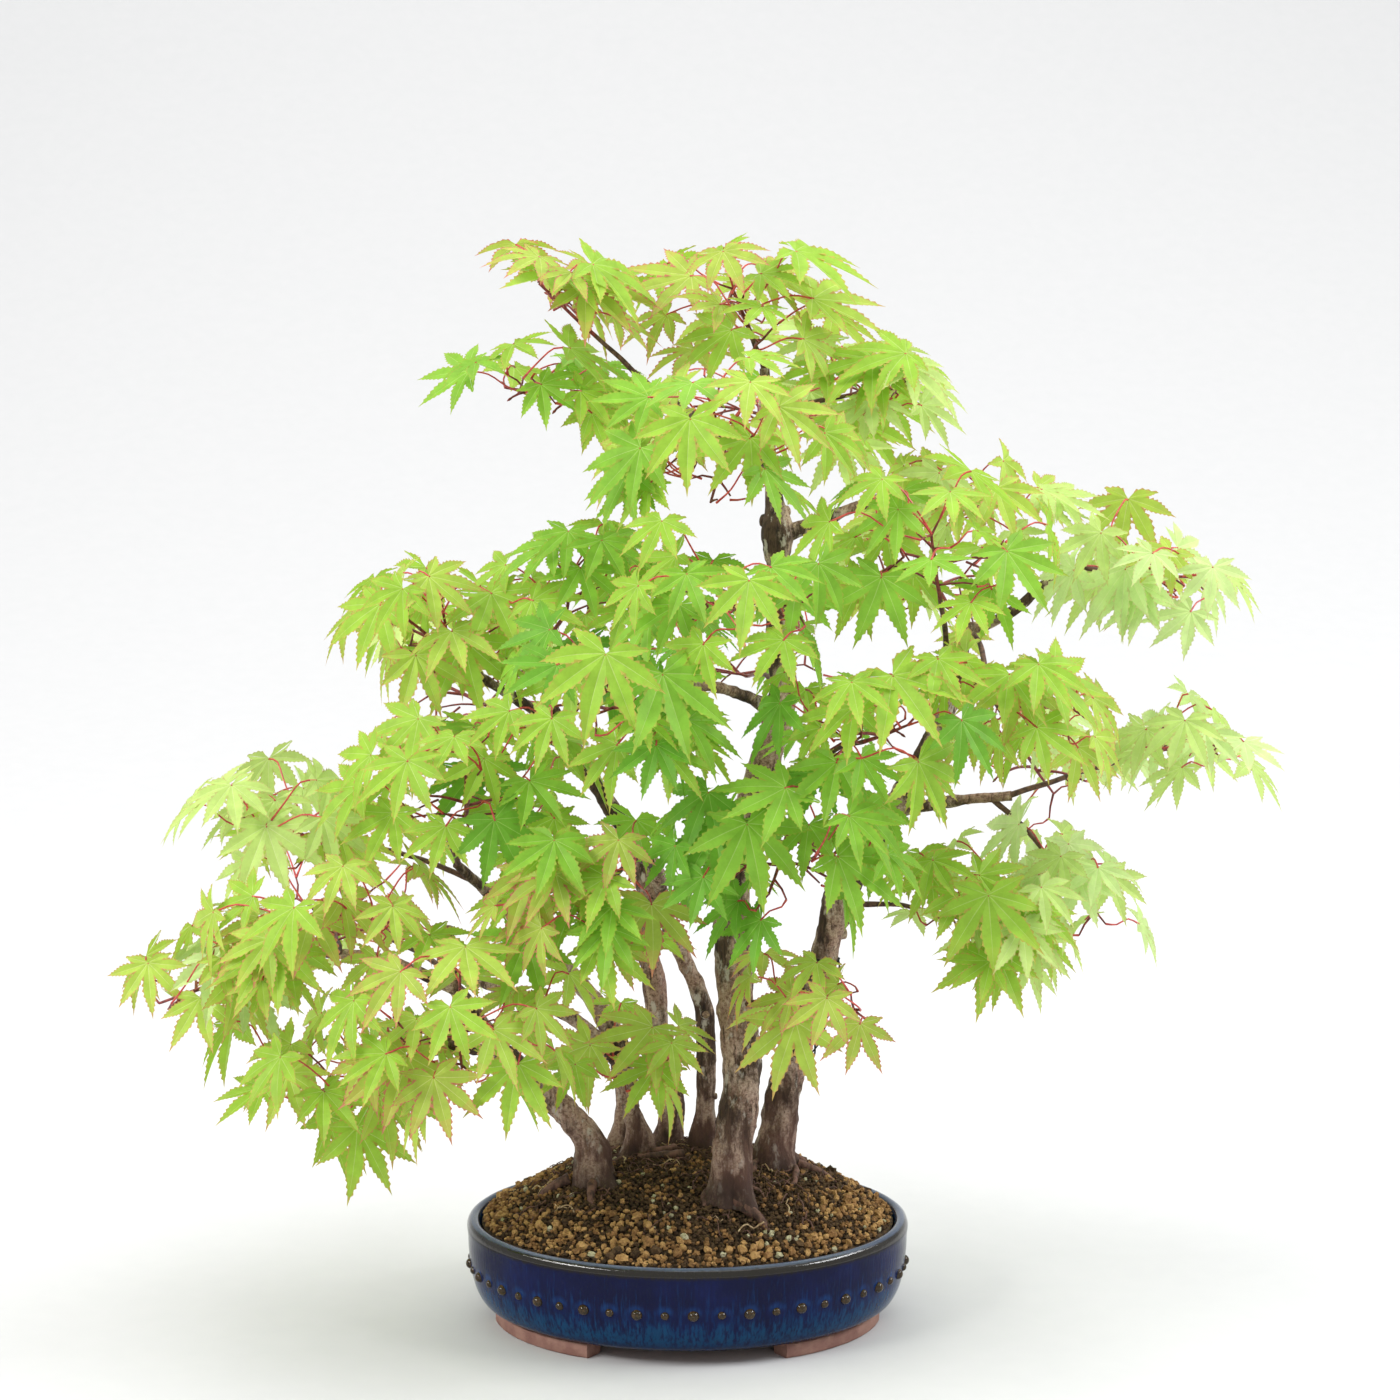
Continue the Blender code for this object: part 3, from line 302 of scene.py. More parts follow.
# The tints: colours of a leaf's blade, its outer part, its edge and its ribs.
TINTS = (
    ("deep", (0.190, 0.455, 0.040), (0.205, 0.455, 0.042), (0.225, 0.420, 0.046), (0.320, 0.560, 0.105)),
    ("green", (0.285, 0.560, 0.052), (0.305, 0.555, 0.056), (0.380, 0.500, 0.060), (0.440, 0.660, 0.150)),
    ("lime", (0.385, 0.625, 0.066), (0.420, 0.610, 0.074), (0.540, 0.470, 0.094), (0.540, 0.720, 0.190)),
    ("bright", (0.480, 0.665, 0.096), (0.525, 0.635, 0.106), (0.620, 0.400, 0.130), (0.640, 0.770, 0.240)),
    ("pale", (0.580, 0.765, 0.225), (0.600, 0.765, 0.235), (0.600, 0.620, 0.215), (0.680, 0.820, 0.340)),
    ("mist", (0.630, 0.815, 0.325), (0.650, 0.820, 0.335), (0.660, 0.700, 0.310), (0.730, 0.850, 0.430)),
    ("bronze", (0.460, 0.590, 0.090), (0.530, 0.530, 0.105), (0.620, 0.240, 0.140), (0.620, 0.700, 0.210)),
)

# How the stems stand on their root toes: (direction in degrees, how far the toe stands out).
TOES = {
    "trunk_main": ((-48, 7.5), (-150, 1.6), (20, 2.6), (120, 2.5)),
    "trunk_right": ((-165, 5.0), (-48, 3.0), (10, 3.4), (-110, 2.5), (100, 2.5)),
    "trunk_slim": ((-70, 2.0), (170, 2.0)),
    "trunk_middle": ((-120, 2.5), (60, 2.5)),
    "trunk_forked": ((-150, 2.5), (40, 2.5)),
    "trunk_low": ((-165, 5.0), (-60, 5.0), (60, 3.0)),
    "root_stump": ((-130, 2.5), (10, 2.0)),
}

# Old cuts: share of the limb, direction in degrees, radius of the cut, how far it stands out.
STUBS = {
    "trunk_slim": ((0.40, -75, 2.3, 1.0), (0.16, -10, 1.5, 0.6)),
    "trunk_middle": ((0.42, -80, 3.0, 1.2), (0.60, -20, 3.4, 0.8), (0.66, 170, 2.6, 1.5)),
    "trunk_main": ((0.82, 150, 3.2, 1.4), (0.83, 30, 2.6, 1.6), (0.55, 190, 1.9, 1.0), (0.13, -20, 1.8, 0.4)),
    "trunk_right": ((0.42, 10, 2.6, 1.4), (0.30, 190, 1.9, 0.8), (0.98, 120, 1.6, 1.0)),
    "trunk_low": ((0.50, 60, 2.0, 1.0),),
    "root_stump": ((0.92, 30, 2.0, 0.6),),
    "bough_fork_upper": ((0.30, -100, 1.8, 0.8),),
    "bough_fork_lower": ((0.38, -70, 1.5, 0.8),),
}

# Roots on the soil: where they leave the stem, direction in degrees, length and radius.
ROOTS = (
    (-2, 4, -150, 34, 2.4), (-6, 16, -128, 46, 2.0), (24, -42, -52, 20, 3.4), (12, -32, -120, 16, 2.0),
    (52, 2, -60, 22, 2.2), (55, 10, -8, 20, 2.4), (36, 2, -108, 18, 1.8), (-58, -10, -176, 18, 3.0),
    (-46, -20, -88, 18, 2.6), (-40, 48, 128, 20, 2.2), (48, 18, 62, 22, 2.4), (6, 34, 84, 20, 2.0),
    (-30, 30, -150, 20, 1.8), (28, -28, 30, 14, 1.6),
)
ROOT_STEPS = 14
ROOTLETS = 300
ROOTLETS_NEAR = 240             # so many of them lie close round the stems
ROOTLET_EDGE = 0.088            # none starts further out than this
STRAW_EVERY = 8                 # one in so many is a pale straw

WIRE_RADIUS = 0.00045
WIRE_SHARES = (0.20, 0.38)      # the stretch of the stem that the wire follows
WIRE_TURNS = 1.15               # it goes so often round the stem at each end

# Where the stems stand: x, y and about their radius at the soil, in metres.
STEMS = [(table["path"][0][0] * MM, table["path"][0][1] * MM, (table["foot"] + table["flare"]) * MM * 0.85)
         for table in TRUNKS.values()]

# ---------------------------------------------------------------- finishes
LEAF_GLOW = 0.42                # the share of a leaf that shines through instead of reflecting
RUN_HEIGHTS = (0.012, 0.044)    # the glaze thickens from the upper height down to the lower
SOIL_STAIN = (0.098, 0.140)     # bark turns pink from the upper height down to the lower
FOOT_SHADE_HEIGHTS = (0.090, 0.112)      # and dark with painted shade in the same way


class Value:
    """A number or colour in a finish. Sums on it add Math nodes to the finish's tree."""

    def __init__(self, finish, socket):
        self.finish = finish
        self.socket = socket

    def sum(self, operation, *values):
        return self.finish.add("ShaderNodeMath", dict(operation=operation), dict(enumerate(values)))

    def __add__(self, other):
        return self.sum("ADD", self, other)

    def __sub__(self, other):
        return self.sum("SUBTRACT", self, other)

    def __rsub__(self, other):
        return self.sum("SUBTRACT", other, self)

    def __mul__(self, other):
        return self.sum("MULTIPLY", self, other)

    def __truediv__(self, other):
        return self.sum("DIVIDE", self, other)

    def __pow__(self, other):
        return self.sum("POWER", self, other)

    __radd__ = __add__
    __rmul__ = __mul__

    def rise(self, low, high):
        """0 below low, 1 above high and smooth between."""
        return self.finish.add("ShaderNodeMapRange", dict(interpolation_type="SMOOTHSTEP"),
                               {"Value": self, "From Min": low, "From Max": high})


class Finish:
    """A material with a Principled shader, and the nodes that feed it."""

    def __init__(self, name, **values):
        self.material = bpy.data.materials.new(name)
        self.material.use_nodes = True
        self.tree = self.material.node_tree
        self.shader = self.tree.nodes["Principled BSDF"]
        self.set(**values)

    def set(self, **values):
        """Set the shader's sockets: base_color is Base Color, and so on."""
        for name, value in values.items():
            self.feed(self.shader.inputs[name.replace("_", " ").title().replace("Ior", "IOR")], value)
        return self

    def feed(self, socket, value):
        """Put a number, a colour or another node's output into a socket."""
        if isinstance(value, Value):
            self.tree.links.new(value.socket, socket)
        elif isinstance(value, tuple) and len(value) == 3 and socket.type == "RGBA":
            socket.default_value = (*value, 1.0)
        else:
            socket.default_value = value

    def add(self, kind, settings=None, inputs=None, output=0):
        """A node: its settings first, then its sockets' values or links."""
        node = self.tree.nodes.new(kind)
        for name, value in (settings or {}).items():
            setattr(node, name, value)
        for name, value in (inputs or {}).items():
            self.feed(node.inputs[name], value)
        return Value(self, node.outputs[output])

    def place(self, scale=(1.0, 1.0, 1.0)):
        """The point on the piece, in metres times a scale for each axis."""
        point = self.add("ShaderNodeTexCoord", output="Object")
        return self.add("ShaderNodeVectorMath", dict(operation="MULTIPLY"), {0: point, 1: scale})

    def axes(self, vector):
        """The three numbers of a vector."""
        node = self.add("ShaderNodeSeparateXYZ", inputs={"Vector": vector}).socket.node
        return [Value(self, socket) for socket in node.outputs]

    def speckle(self, vector, scale, detail=4.0, rough=0.55):
        """Soft noise from 0 to 1."""
        return self.add("ShaderNodeTexNoise", None, {"Vector": vector, "Scale": scale,
                                                     "Detail": detail, "Roughness": rough}, "Fac")

    def scattered(self, vector, scale):
        """Distance to the nearest of scattered points."""
        return self.add("ShaderNodeTexVoronoi", None, {"Vector": vector, "Scale": scale}, "Distance")

    def blend(self, share, one, two):
        """From colour one to colour two as the share goes from 0 to 1."""
        return self.add("ShaderNodeMix", dict(data_type="RGBA"),
                        {"Factor": share, 6: one, 7: two}, 2)

    def relief(self, height, depth, strength=1.0):
        """Bump from a height between 0 and 1, `depth` metres deep."""
        bump = self.add("ShaderNodeBump", None, {"Height": height, "Distance": depth,
                                                 "Strength": strength}, "Normal")
        return self.set(normal=bump)


def glaze_finish(name, shine):
    """Thick blue glaze: violet-blue above, running to turquoise below, thin and brown on edges, with painted
    shade round the studs, a painted highlight above them and a painted sheen on the lip's top.
    """
    finish = Finish(name, specular_ior_level=shine)
    place = finish.place()
    x, y, z = finish.axes(place)
    drips = finish.speckle(finish.place((430.0, 430.0, 30.0)), 1.0, 6.0, 0.66)
    fine = finish.speckle(finish.place((900.0, 900.0, 120.0)), 1.0, 3.0)
    cloud = finish.speckle(place, 38.0, 3.0)
    deep = finish.blend(cloud.rise(0.35, 0.7), (0.0045, 0.0060, 0.030), (0.0060, 0.0105, 0.062))
    low = 1.0 - z.rise(*RUN_HEIGHTS)
    run = (drips * 0.9 + fine * 0.6 + low * 0.30 - 0.80).rise(0.0, 0.30)
    blue = finish.blend(run * 0.72, deep, (0.005, 0.030, 0.108))
    pool = (low * 0.9 + drips * 0.9 + fine * 0.5 - 1.30).rise(0.0, 0.36)
    pool = pool * (z + fine * 0.003).rise(FOOT_HEIGHT + 0.0020, FOOT_HEIGHT + 0.0090)
    blue = finish.blend(pool * 0.62, blue, (0.006, 0.055, 0.118))
    sink = (fine * 0.6 + drips * 0.4).rise(0.40, 0.56)
    blue = finish.blend((1.0 - sink) * 0.55, blue, (0.006, 0.008, 0.038))
    turn = finish.add("ShaderNodeMath", dict(operation="ARCTAN2"), {0: y / OVAL, 1: x})
    step = turn * (RIVETS / (2 * math.pi)) + (RIVETS + 0.5 - RIVET_START)
    along = finish.add("ShaderNodeMath", dict(operation="FRACT"), {0: step}) - 0.5
    across = along * (2 * math.pi * 0.1 / RIVETS)
    rise = z - RIVET_HEIGHT
    away = (across * across + rise * rise) ** 0.5
    # painted shade: a dark ring round each stud
    ring = (1.0 - (away + fine * 0.001 - 0.0034).rise(0.0, 0.0030)) * 0.7
    blue = finish.blend(ring, blue, (0.006, 0.011, 0.060))
    # painted highlight: bright blue along the top of the ring above each stud
    crown = ring * (rise + 0.001).rise(0.0, 0.0035) * drips.rise(0.30, 0.60)
    blue = finish.blend(crown * 0.6, blue, (0.010, 0.060, 0.200))
    under = (1.0 - (across * across) ** 0.5 / 0.0024).rise(0.0, 1.0) * (0.0 - rise - 0.002).rise(0.0, 0.004)
    blue = finish.blend(under * fine.rise(0.35, 0.6) * 0.35, blue, (0.008, 0.060, 0.150))
    foot = 1.0 - (z + fine * 0.003).rise(FOOT_HEIGHT + 0.0024, FOOT_HEIGHT + 0.0080)
    blue = finish.blend(foot * 0.75, blue, (0.004, 0.012, 0.036))
    edge = (z + fine * 0.0030 + drips * 0.0020).rise(LIP_HEIGHT + 0.0004, LIP_HEIGHT + 0.0030)
    blue = finish.blend(edge * 0.95, blue, (0.016, 0.013, 0.007))
    # painted sheen: the lip's top turns pale grey-blue
    lip_top_sheen = (z + drips * 0.0010).rise(LIP_HEIGHT + 0.0032, LIP_HEIGHT + 0.0042)
    blue = finish.blend(lip_top_sheen * 0.75, blue, (0.090, 0.120, 0.190))
    radius = (x * x + y * y / (OVAL * OVAL)) ** 0.5
    inner = (1.0 - radius.rise(POT_LENGTH / 2 - 0.0066, POT_LENGTH / 2 - 0.0054)) * z.rise(0.040, 0.044)
    blue = finish.blend(inner, blue, (0.006, 0.045, 0.140))
    finish.set(base_color=blue, roughness=0.06 + fine * 0.10)
    return finish.relief(cloud * 0.5 + fine * 0.5, 0.0005, 0.5)


def stud_finish():
    """Olive brown where the glaze has run thin over the studs."""
    finish = Finish("stud_glaze", specular_ior_level=0.4)
    fine = finish.speckle(finish.place(), 900.0, 3.0)
    height = finish.axes(finish.place())[2]
    low = 1.0 - (height - RIVET_HEIGHT + fine * 0.001).rise(-0.0026, -0.0006)
    brown = finish.blend(fine.rise(0.35, 0.7), (0.018, 0.012, 0.004), (0.062, 0.034, 0.010))
    finish.set(base_color=finish.blend(low * 0.7, brown, (0.012, 0.030, 0.120)), roughness=0.07 + fine * 0.06)
    return finish.relief(fine, 0.0001, 0.2)


def clay_finish():
    """Bare fired clay of the feet and the underside."""
    finish = Finish("bare_clay")
    place = finish.place()
    grain = finish.speckle(place, 900.0, 5.0, 0.7)
    stain = finish.speckle(place, 90.0, 3.0)
    clay = finish.blend(stain.rise(0.35, 0.65), (0.230, 0.110, 0.085), (0.330, 0.180, 0.135))
    finish.set(base_color=finish.blend(grain.rise(0.55, 0.8) * 0.5, clay, (0.120, 0.060, 0.050)),
               roughness=0.7 + grain * 0.25)
    return finish.relief(grain, 0.0006, 0.8)


def grain_finish(name, dark, light):
    """One colour of the grit that the pot is filled with."""
    finish = Finish(name, specular_ior_level=0.25)
    place = finish.place()
    pores = finish.speckle(place, 1300.0, 5.0, 0.7)
    patch = finish.speckle(place, 260.0, 2.0)
    finish.set(base_color=finish.blend((patch * 0.6 + pores * 0.4).rise(0.34, 0.64), dark, light),
               roughness=0.85 + pores * 0.1)
    return finish.relief(pores, 0.0007, 0.9)


def bark_finish():
    """Grey-brown bark with pinkish worn patches, dark seams, and painted shade that turns it nearly black at
    the foot.
    """
    finish = Finish("maple_bark", specular_ior_level=0.3)
    place = finish.place()
    height = finish.axes(place)[2]
    patch = finish.speckle(finish.place((1.0, 1.0, 0.40)), 95.0, 6.0, 0.68)
    broad = finish.speckle(finish.place((1.0, 1.0, 0.6)), 34.0, 3.0)
    seam = finish.speckle(finish.place((1.0, 1.0, 0.20)), 380.0, 6.0, 0.7)
    fleck = finish.speckle(place, 620.0, 5.0, 0.75)
    tan = finish.blend(fleck.rise(0.32, 0.62), (0.220, 0.132, 0.092), (0.580, 0.435, 0.340))
    rosy = finish.blend(fleck.rise(0.32, 0.62), (0.120, 0.056, 0.042), (0.360, 0.205, 0.155))
    brown = finish.blend(seam.rise(0.34, 0.64), (0.018, 0.010, 0.007), (0.105, 0.062, 0.040))
    bark = finish.blend((patch + broad * 0.8 - 0.40).rise(0.41, 0.59), brown, tan)
    bark = finish.blend((broad * 0.6 + seam * 0.4).rise(0.50, 0.58) * 0.75, bark, rosy)
    bark = finish.blend(seam.rise(0.56, 0.64) * 0.8, bark, (0.022, 0.014, 0.010))
    grey = finish.speckle(finish.place((1.0, 1.0, 0.5)), 170.0, 4.0, 0.6)
    bark = finish.blend(grey.rise(0.58, 0.68) * 0.75, bark, (0.560, 0.500, 0.430))
    pits = finish.scattered(finish.place((1.0, 1.0, 1.6)), 330.0)
    bark = finish.blend((1.0 - pits.rise(0.10, 0.26)) * 0.55, bark, (0.060, 0.036, 0.028))
    pink = 1.0 - (height + broad * 0.040).rise(*SOIL_STAIN)
    bark = finish.blend(pink * 0.45, bark, (0.190, 0.090, 0.070))
    # painted shade: the bark darkens to nearly black towards the stem's foot
    foot_shade = 1.0 - (height + patch * 0.040).rise(*FOOT_SHADE_HEIGHTS)
    bark = finish.blend(foot_shade * 0.72, bark, (0.030, 0.019, 0.015))
    finish.set(base_color=bark, roughness=0.68 + seam * 0.27)
    return finish.relief(seam * 0.5 + fleck * 0.3 + grey * 0.2, 0.0011, 1.0)


def root_finish():
    """Red-brown skin of the roots that show on the soil."""
    finish = Finish("root_bark", specular_ior_level=0.35)
    long = finish.speckle(finish.place((1.0, 1.0, 0.4)), 300.0, 5.0, 0.65)
    finish.set(base_color=finish.blend(long.rise(0.35, 0.65), (0.050, 0.026, 0.018), (0.180, 0.092, 0.066)),
               roughness=0.6 + long * 0.3)
    return finish.relief(long, 0.0006, 0.8)


def wood_finish():
    """Old cut wood with its rings dried to a pale brown."""
    finish = Finish("cut_wood")
    fine = finish.speckle(finish.place(), 800.0, 4.0)
    finish.set(base_color=finish.blend(fine.rise(0.35, 0.65), (0.170, 0.110, 0.070), (0.420, 0.290, 0.180)),
               roughness=0.8 + fine * 0.1)
    return finish.relief(fine, 0.0004, 0.7)


def twig_finish(name, dark, light, rough):
    """Skin of twigs and leaf stalks: mottled along them."""
    finish = Finish(name, roughness=rough, specular_ior_level=0.4)
    long = finish.speckle(finish.place(), 420.0, 3.0)
    finish.set(base_color=finish.blend(long.rise(0.35, 0.65), dark, light))
    return finish.relief(long, 0.0002, 0.5)


def leaf_finish(name, colour):
    """One tint of leaf, which lets some of the light behind it through."""
    finish = Finish(name, roughness=0.50, specular_ior_level=0.28)
    place = finish.place()
    vein = finish.speckle(place, 900.0, 2.0)
    mottle = finish.speckle(place, 120.0, 2.0)
    darker = tuple(part * 0.86 for part in colour)
    lighter = tuple(min(1.0, part * 1.10) for part in colour)
    skin = finish.blend((mottle * 0.7 + vein * 0.3).rise(0.35, 0.65), darker, lighter)
    finish.set(base_color=skin)
    finish.relief(vein * 0.6 + mottle * 0.4, 0.0004, 0.35)
    glow = finish.add("ShaderNodeBsdfTranslucent", None, {"Color": colour}, 0)
    mixed = finish.add("ShaderNodeMixShader", None,
                       {0: LEAF_GLOW, 1: Value(finish, finish.shader.outputs[0]), 2: glow}, 0)
    output = finish.tree.nodes["Material Output"]
    finish.tree.links.new(mixed.socket, output.inputs["Surface"])
    return finish


def wire_finish():
    """Black annealed wire."""
    finish = Finish("black_wire", metallic=0.6, roughness=0.45)
    fine = finish.speckle(finish.place(), 1500.0, 2.0)
    finish.set(base_color=finish.blend(fine, (0.006, 0.006, 0.007), (0.030, 0.028, 0.026)))
    return finish.relief(fine, 0.0001, 0.4)


def floor_finish():
    """A plain pale floor."""
    finish = Finish("pale_floor", roughness=0.9, specular_ior_level=0.1)
    fine = finish.speckle(finish.place(), 60.0, 3.0)
    finish.set(base_color=finish.blend(fine, (0.58, 0.585, 0.59), (0.61, 0.61, 0.615)))
    return finish


# ---------------------------------------------------------------- mesh making

class Piece:
    """Corners and faces gathered for one piece, with the finish of each face."""

    def __init__(self, name):
        self.name = name
        self.corners = []
        self.faces = []
        self.slots = []
        self.finishes = []

    def slot_of(self, finish):
        if finish not in self.finishes:
            self.finishes.append(finish)
        return self.finishes.index(finish)

    def add(self, corners, faces, finish):
        """Faces that index their own corners, in one finish or one finish for each face."""
        start = len(self.corners)
        self.corners.extend(corners)
        self.faces.extend([tuple(start + index for index in face) for face in faces])
        if isinstance(finish, Finish):
            self.slots.extend([self.slot_of(finish)] * len(faces))
        else:
            self.slots.extend([self.slot_of(one) for one in finish])

    def finish(self, slot, *nodes, smooth=True, sharp=40.0):
        """The finished object: it rides on the root and stands for the nodes named."""
        mesh = bpy.data.meshes.new(self.name)
        mesh.from_pydata([tuple(corner) for corner in self.corners], [], self.faces)
        for finish in self.finishes:
            mesh.materials.append(finish.material)
        mesh.polygons.foreach_set("material_index", self.slots)
        if smooth:
            mesh.shade_smooth()
            mesh.set_sharp_from_angle(angle=math.radians(sharp))
        mesh.update()
        obj = bpy.data.objects.new(self.name, mesh)
        bpy.context.scene.collection.objects.link(obj)
        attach(obj, "root")
        if nodes:
            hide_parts(*nodes)


def ring_faces(rings, sides):
    """Quads between rings of corners that follow one another."""
    faces = []
    for ring in range(rings - 1):
        low, high = ring * sides, (ring + 1) * sides
        for side in range(sides):
            after = (side + 1) % sides
            faces.append((low + side, low + after, high + after, high + side))
    return faces


def rings_mesh(rings, close_start=True, close_end=True):
    """Corners and faces of a run of rings with the same number of corners each."""
    sides = len(rings[0])
    corners = [corner for ring in rings for corner in ring]
    faces = ring_faces(len(rings), sides)
    if close_start:
        faces.append(tuple(reversed(range(sides))))
    if close_end:
        last = (len(rings) - 1) * sides
        faces.append(tuple(range(last, last + sides)))
    return corners, faces


def smooth_path(points, step):
    """Points every `step` along a smooth curve through the given ones."""
    ends = [points[0] * 2 - points[1]] + points + [points[-1] * 2 - points[-2]]
    fine = []
    for before, one, two, after in zip(ends, ends[1:], ends[2:], ends[3:]):
        count = max(1, round((two - one).length / step))
        for index in range(count):
            t = index / count
            fine.append(0.5 * (2 * one + (two - before) * t
                               + (2 * before - 5 * one + 4 * two - after) * t * t
                               + (3 * one - before - 3 * two + after) * t ** 3))
    return fine + [points[-1]]


def shares_along(points):
    """How far along a path each of its points lies, from 0 to 1."""
    lengths = [0.0]
    for one, two in zip(points, points[1:]):
        lengths.append(lengths[-1] + (two - one).length)
    return [length / lengths[-1] for length in lengths]


def frames_along(points):
    """Two directions across the path at each point, turning as little as they can."""
    ahead = [(two - one).normalized() for one, two in zip(points, points[1:])]
    ahead.append(ahead[-1])
    first = ahead[0].orthogonal().normalized()
    if abs(ahead[0].z) > 0.5:
        first = (Vector((1.0, 0.0, 0.0)) - ahead[0] * ahead[0].x).normalized()
    frames = []
    for direction in ahead:
        first = (first - direction * first.dot(direction)).normalized()
        frames.append((first, direction.cross(first)))
    return frames


def spoke(side, above, turn):
    """The direction across a run that lies so far round it."""
    return side * math.cos(turn) + above * math.sin(turn)


def tube(piece, points, radii, sides, finish, relief=None):
    """A round run along the points, with a radius at each and its relief in metres."""
    rings = []
    for index, (point, radius, (side, above)) in enumerate(zip(points, radii, frames_along(points))):
        ring = []
        for step in range(sides):
            out = spoke(side, above, 2 * math.pi * step / sides)
            size = radius
            if relief is not None:
                size += relief(point + out * radius, out, index)
            ring.append(point + out * size)
        rings.append(ring)
    piece.add(*rings_mesh(rings), finish)


def oval_lathe(profile, steps):
    """Corners and quads of a profile of (radius, height) turned about Z, open at its ends."""
    corners = []
    for radius, height in profile:
        for step in range(steps):
            turn = 2 * math.pi * step / steps
            corners.append((radius * math.cos(turn), radius * OVAL * math.sin(turn), height))
    return corners, ring_faces(len(profile), steps)


def round_line(points, step):
    """A smooth curve through (radius, height) points."""
    line = smooth_path([Vector((radius, 0.0, height)) for radius, height in points], step)
    return [(max(0.0, point.x), point.z) for point in line]


def ball(segments, rings):
    """Corners and faces of a ball of radius 1, with a corner at each pole."""
    corners = [(0.0, 0.0, 1.0)]
    for row in range(1, rings):
        tilt = math.pi * row / rings
        for step in range(segments):
            turn = 2 * math.pi * step / segments
            corners.append((math.sin(tilt) * math.cos(turn), math.sin(tilt) * math.sin(turn), math.cos(tilt)))
    corners.append((0.0, 0.0, -1.0))
    last = len(corners) - 1
    faces = []
    for step in range(segments):
        after = (step + 1) % segments
        faces.append((0, 1 + step, 1 + after))
        for row in range(rings - 2):
            low, high = 1 + row * segments, 1 + (row + 1) * segments
            faces.append((low + step, high + step, high + after, low + after))
        faces.append((last, last - segments + after, last - segments + step))
    return np.array(corners), faces


# ---------------------------------------------------------------- pot

def make_bowl(glaze, lip_glaze, clay):
    """The bowl: bare clay below, a glazed wall, a rolled lip and a plain inside."""
    half, floor = POT_LENGTH / 2, FOOT_HEIGHT + WALL
    base = [(0.0, FOOT_HEIGHT)] + [(half - inset, FOOT_HEIGHT) for inset in BASE_INSETS]
    wall = round_line([(half - inset, FOOT_HEIGHT + rise) for inset, rise in WALL_LINE], WALL_STEP)
    lip = round_line([(half - inset, LIP_HEIGHT + rise) for inset, rise in LIP_LINE], LIP_STEP)
    inside = [(half - inset, floor + rise) for inset, rise in INSIDE_LINE] + [(0.0, floor)]
    corners, faces = oval_lathe(base + wall + lip + inside, POT_STEPS)
    settled = []
    for x, y, z in corners:
        lump = noise.noise(Vector((x * 60.0, y * 60.0, z * 40.0))) * POT_WOBBLE
        reach = math.hypot(x, y) or 1.0
        settled.append((x + x / reach * lump, y + y / reach * lump, z))
    bare = POT_STEPS * (len(base) - 1)
    walled = POT_STEPS * (len(wall) + 1)
    finishes = [clay] * bare + [glaze] * walled + [lip_glaze] * (len(faces) - bare - walled)
    bowl = Piece("pot_bowl")
    bowl.add(settled, faces, finishes)
    bowl.finish("blue_glaze", "pot", sharp=60.0)


def make_studs(glaze):
    """The row of large and small studs in the wall."""
    studs = Piece("pot_studs")
    corners, faces = ball(20, 12)
    seat = POT_LENGTH / 2 - RIVET_INSET
    for index in range(RIVETS):
        turn = 2 * math.pi * (index + RIVET_START) / RIVETS
        size = RIVET_LARGE if index % 2 else RIVET_SMALL
        out = Vector((math.cos(turn), math.sin(turn) / OVAL, 0.0)).normalized()
        turned = out.to_track_quat("Z", "Y").to_matrix()
        middle = Vector((seat * math.cos(turn), seat * OVAL * math.sin(turn), RIVET_HEIGHT))
        studs.add([middle + turned @ (Vector(corner) * size) for corner in corners], faces, glaze)
    studs.finish("blue_glaze", "pot")


def make_foot(front, side, clay):
    """One foot: a stretch of an oval ring with worn edges, a little narrower at its ends."""
    name = f"{'front' if front < 0 else 'back'}_{'left' if side < 0 else 'right'}"
    start, end = (math.radians(angle) for angle in FOOT_ARC)
    inner, outer, worn, top = FOOT_INNER, FOOT_OUTER, FOOT_WORN, FOOT_HEIGHT - GAP
    outline = [(inner + worn, 0.0), (outer - worn, 0.0), (outer - worn * 0.3, worn * 0.3),
               (outer, worn), (outer, top - worn * 0.3), (outer - worn * 0.4, top),
               (inner + worn * 0.4, top), (inner, top - worn * 0.4), (inner, worn),
               (inner + worn * 0.3, worn * 0.3)]
    rings = []
    for index in range(FOOT_SECTIONS + 1):
        share = index / FOOT_SECTIONS
        turn = start + (end - start) * share
        near_end = min(share, 1.0 - share) * FOOT_SECTIONS < 2
        ring = []
        for radius, height in outline:
            lump = noise.noise(Vector((radius * 400, turn * 40, height * 300 + front + side))) * 0.0002
            wide = radius + (0.0 if height in (0.0, top) else lump)
            if near_end:
                wide -= (radius - (inner + outer) / 2) * FOOT_NARROWS
            ring.append(Vector((side * wide * math.cos(turn), front * wide * OVAL * math.sin(turn), height)))
        rings.append(ring)
    corners, faces = rings_mesh(rings)
    if front * side > 0:
        faces = [tuple(reversed(face)) for face in faces]
    foot = Piece(f"foot_{name}")
    foot.add(corners, faces, clay)
    foot.finish("fired_clay", f"pot_foot_{name}", sharp=50.0)


# ---------------------------------------------------------------- soil

def soil_height(x, y):
    """Height of the soil's face over a point."""
    height = SOIL_EDGE
    for _ in range(4):
        back = y - SOIL_LEAN * (height - SOIL_EDGE)
        radius = min(1.0, math.hypot(x, back / OVAL) / SOIL_REACH)
        height = SOIL_EDGE + SOIL_RISE * (1.0 - radius ** SOIL_POWER)
    return height


def bank(share):
    """How much higher the soil lies, so far out on the way to the wall."""
    return SOIL_BANK * share ** 14


def near_stems(x, y):
    """How close a place on the soil is to the nearest stem: 1 at it and 0 well away."""
    away = min(math.hypot(x - stem_x, y - stem_y) for stem_x, stem_y, _ in STEMS)
    return max(0.0, 1.0 - (away / NEAR_STEM)) ** 0.8


